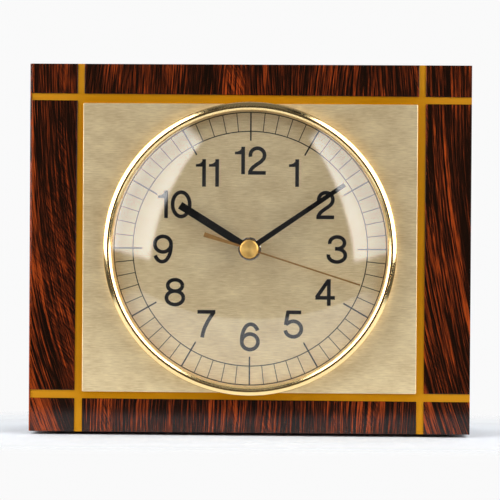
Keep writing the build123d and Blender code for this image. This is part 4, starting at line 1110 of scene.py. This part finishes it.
# Camera, aimed from its azimuth and elevation
azimuth, elevation = radians(camera_azimuth), radians(camera_elevation)
back = Vector((sin(azimuth) * cos(elevation), -cos(azimuth) * cos(elevation), sin(elevation)))
camera_data = bpy.data.cameras.new("camera")
camera_data.sensor_width = sensor_width
camera_data.lens = sensor_width * camera_distance / (picture_width * pixel_size)
camera = place_object("camera", camera_data)
aim_x = (picture_width / 2 - case_pixel_x) * pixel_size
aim_z = case_middle_z - (picture_width / 2 - case_pixel_y) * pixel_size
camera_place = Vector((aim_x, front_y, aim_z)) * MM + back * camera_distance * MM
turn = (-back).to_track_quat("-Z", "Y").to_matrix() @ Matrix.Rotation(radians(camera_roll), 3, "Z")
camera.matrix_world = Matrix.Translation(camera_place) @ turn.to_4x4()
bpy.context.scene.camera = camera


# Studio: two softboxes, a pale floor and a white surround that is dim in front of the clock

def bare_tree(owner):
    """Gives an owner of shader nodes an empty tree."""
    owner.use_nodes = True
    owner.node_tree.nodes.clear()
    return owner.node_tree


def stage_piece(name, points, faces, material):
    """A flat piece of the studio."""
    mesh = bpy.data.meshes.new(name)
    mesh.from_pydata(points, [], faces)
    mesh.materials.append(material)
    made = place_object(name, mesh)
    return made


def ease_in(value, low, high):
    """A smooth step: three times the square of the share less twice its cube."""
    share = np.clip((value - low) / (high - low), 0, 1)
    return share * share * (3 - 2 * share)


lamp = bpy.data.materials.new("softbox_light")
tree = bare_tree(lamp)
glow = put(tree, "Attribute", out="Fac", attribute_name="softbox_glow")
add_node(tree, "OutputMaterial", {"Surface": put(tree, "Emission", {"Strength": glow * softbox_strength})})
u, v = np.meshgrid(np.linspace(*softbox_across), np.linspace(*softbox_up), indexing="ij")
wing = ease_in(np.hypot(u, v), *softbox_wing)
for side, name in ((1, "softbox_right"), (-1, "softbox_left")):
    start, slope, bulge = softbox_inner_edges[name]
    inside = u - (start + slope * v + bulge * v**2)
    above = v - (softbox_bottom + softbox_bottom_rise * (u - softbox_bottom_at)) + softbox_wing_drop * wing
    below = softbox_top + softbox_top_rise * u - v + softbox_wing_lift * wing
    level = ease_in(inside, *softbox_inner_fade) * ease_in(above, *softbox_bottom_fade)
    level = level * ease_in(below, *softbox_top_fade)
    middle_level = softbox_rim_level + (softbox_seam_level - softbox_rim_level) * ease_in(inside, *softbox_seam)
    level = level * (middle_level + (1 - middle_level) * ease_in(np.hypot(u, v), *softbox_outer))
    places = join(side * u * softbox_distance, front_y - softbox_distance, dial_z + v * softbox_distance)
    panel = stage_piece(name, places.reshape(-1, 3) * MM, grid_faces(*u.shape), lamp)
    panel.data.attributes.new("softbox_glow", "FLOAT", "POINT").data.foreach_set("value", level.ravel())
    panel.visible_camera = False

# The floor fades out away from the clock: near it for the camera, further off for other rays
floor_paper = bpy.data.materials.new("floor_paper")
tree = bare_tree(floor_paper)
floor_x, floor_y, _ = parted(put(tree, "TexCoord", out="Object"))
edge = ((abs(floor_x) * floor_edge_spread) ** 2.0 + floor_front_edge**2).root()
front_share = (floor_y + edge).spread(*floor_edge_fade)
side_share = abs(floor_x).spread(*floor_sides)
beside = (abs(floor_x) - case_right * MM).at_least(0.0)
before = (abs(floor_y - case_middle_y * MM) - case_half_depth * MM).at_least(0.0)
away = (beside ** 2.0 + before ** 2.0).root()
fade = between(ray(tree, "Camera"), away.spread(*floor_far) * side_share, away.spread(*floor_near))
paper = put(tree, "BsdfDiffuse", {"Color": floor_colour})
sheen = put(tree, "Emission", {"Strength": ray(tree, "Glossy") * floor_sheen})
lit = put(tree, "AddShader", {0: paper, 1: sheen})
both = put(tree, "MixShader", {0: front_share * fade, 1: put(tree, "BsdfTransparent"), 2: lit})
add_node(tree, "OutputMaterial", {"Surface": both})
half = floor_half_width
stage_piece("floor", [(-half, -half, 0), (half, -half, 0), (half, half, 0), (-half, half, 0)], [(0, 1, 2, 3)],
            floor_paper)

world = bpy.data.worlds.new("studio")
tree = bare_tree(world)
_, rearwards, upwards = parted(put(tree, "TexCoord", out="Generated"))
surround = upwards.spread(0.0, 1.0, *overhead_light) + rearwards.spread(*rear_rise) * rear_light
past_glass = ray(tree, "Transmission") * (rearwards > behind_glass)
seen = ray(tree, "Camera").at_least(past_glass)
full_white = (1.0, 1.0, 1.0, 1.0)
studio_light = put(tree, "Background", {"Color": full_white, "Strength": surround})
white = put(tree, "Background", {"Color": full_white, "Strength": background_white})
add_node(tree, "OutputWorld", {"Surface": put(tree, "MixShader", {0: seen, 1: studio_light, 2: white})})
bpy.context.scene.world = world
bpy.context.scene.view_settings.view_transform = "Standard"
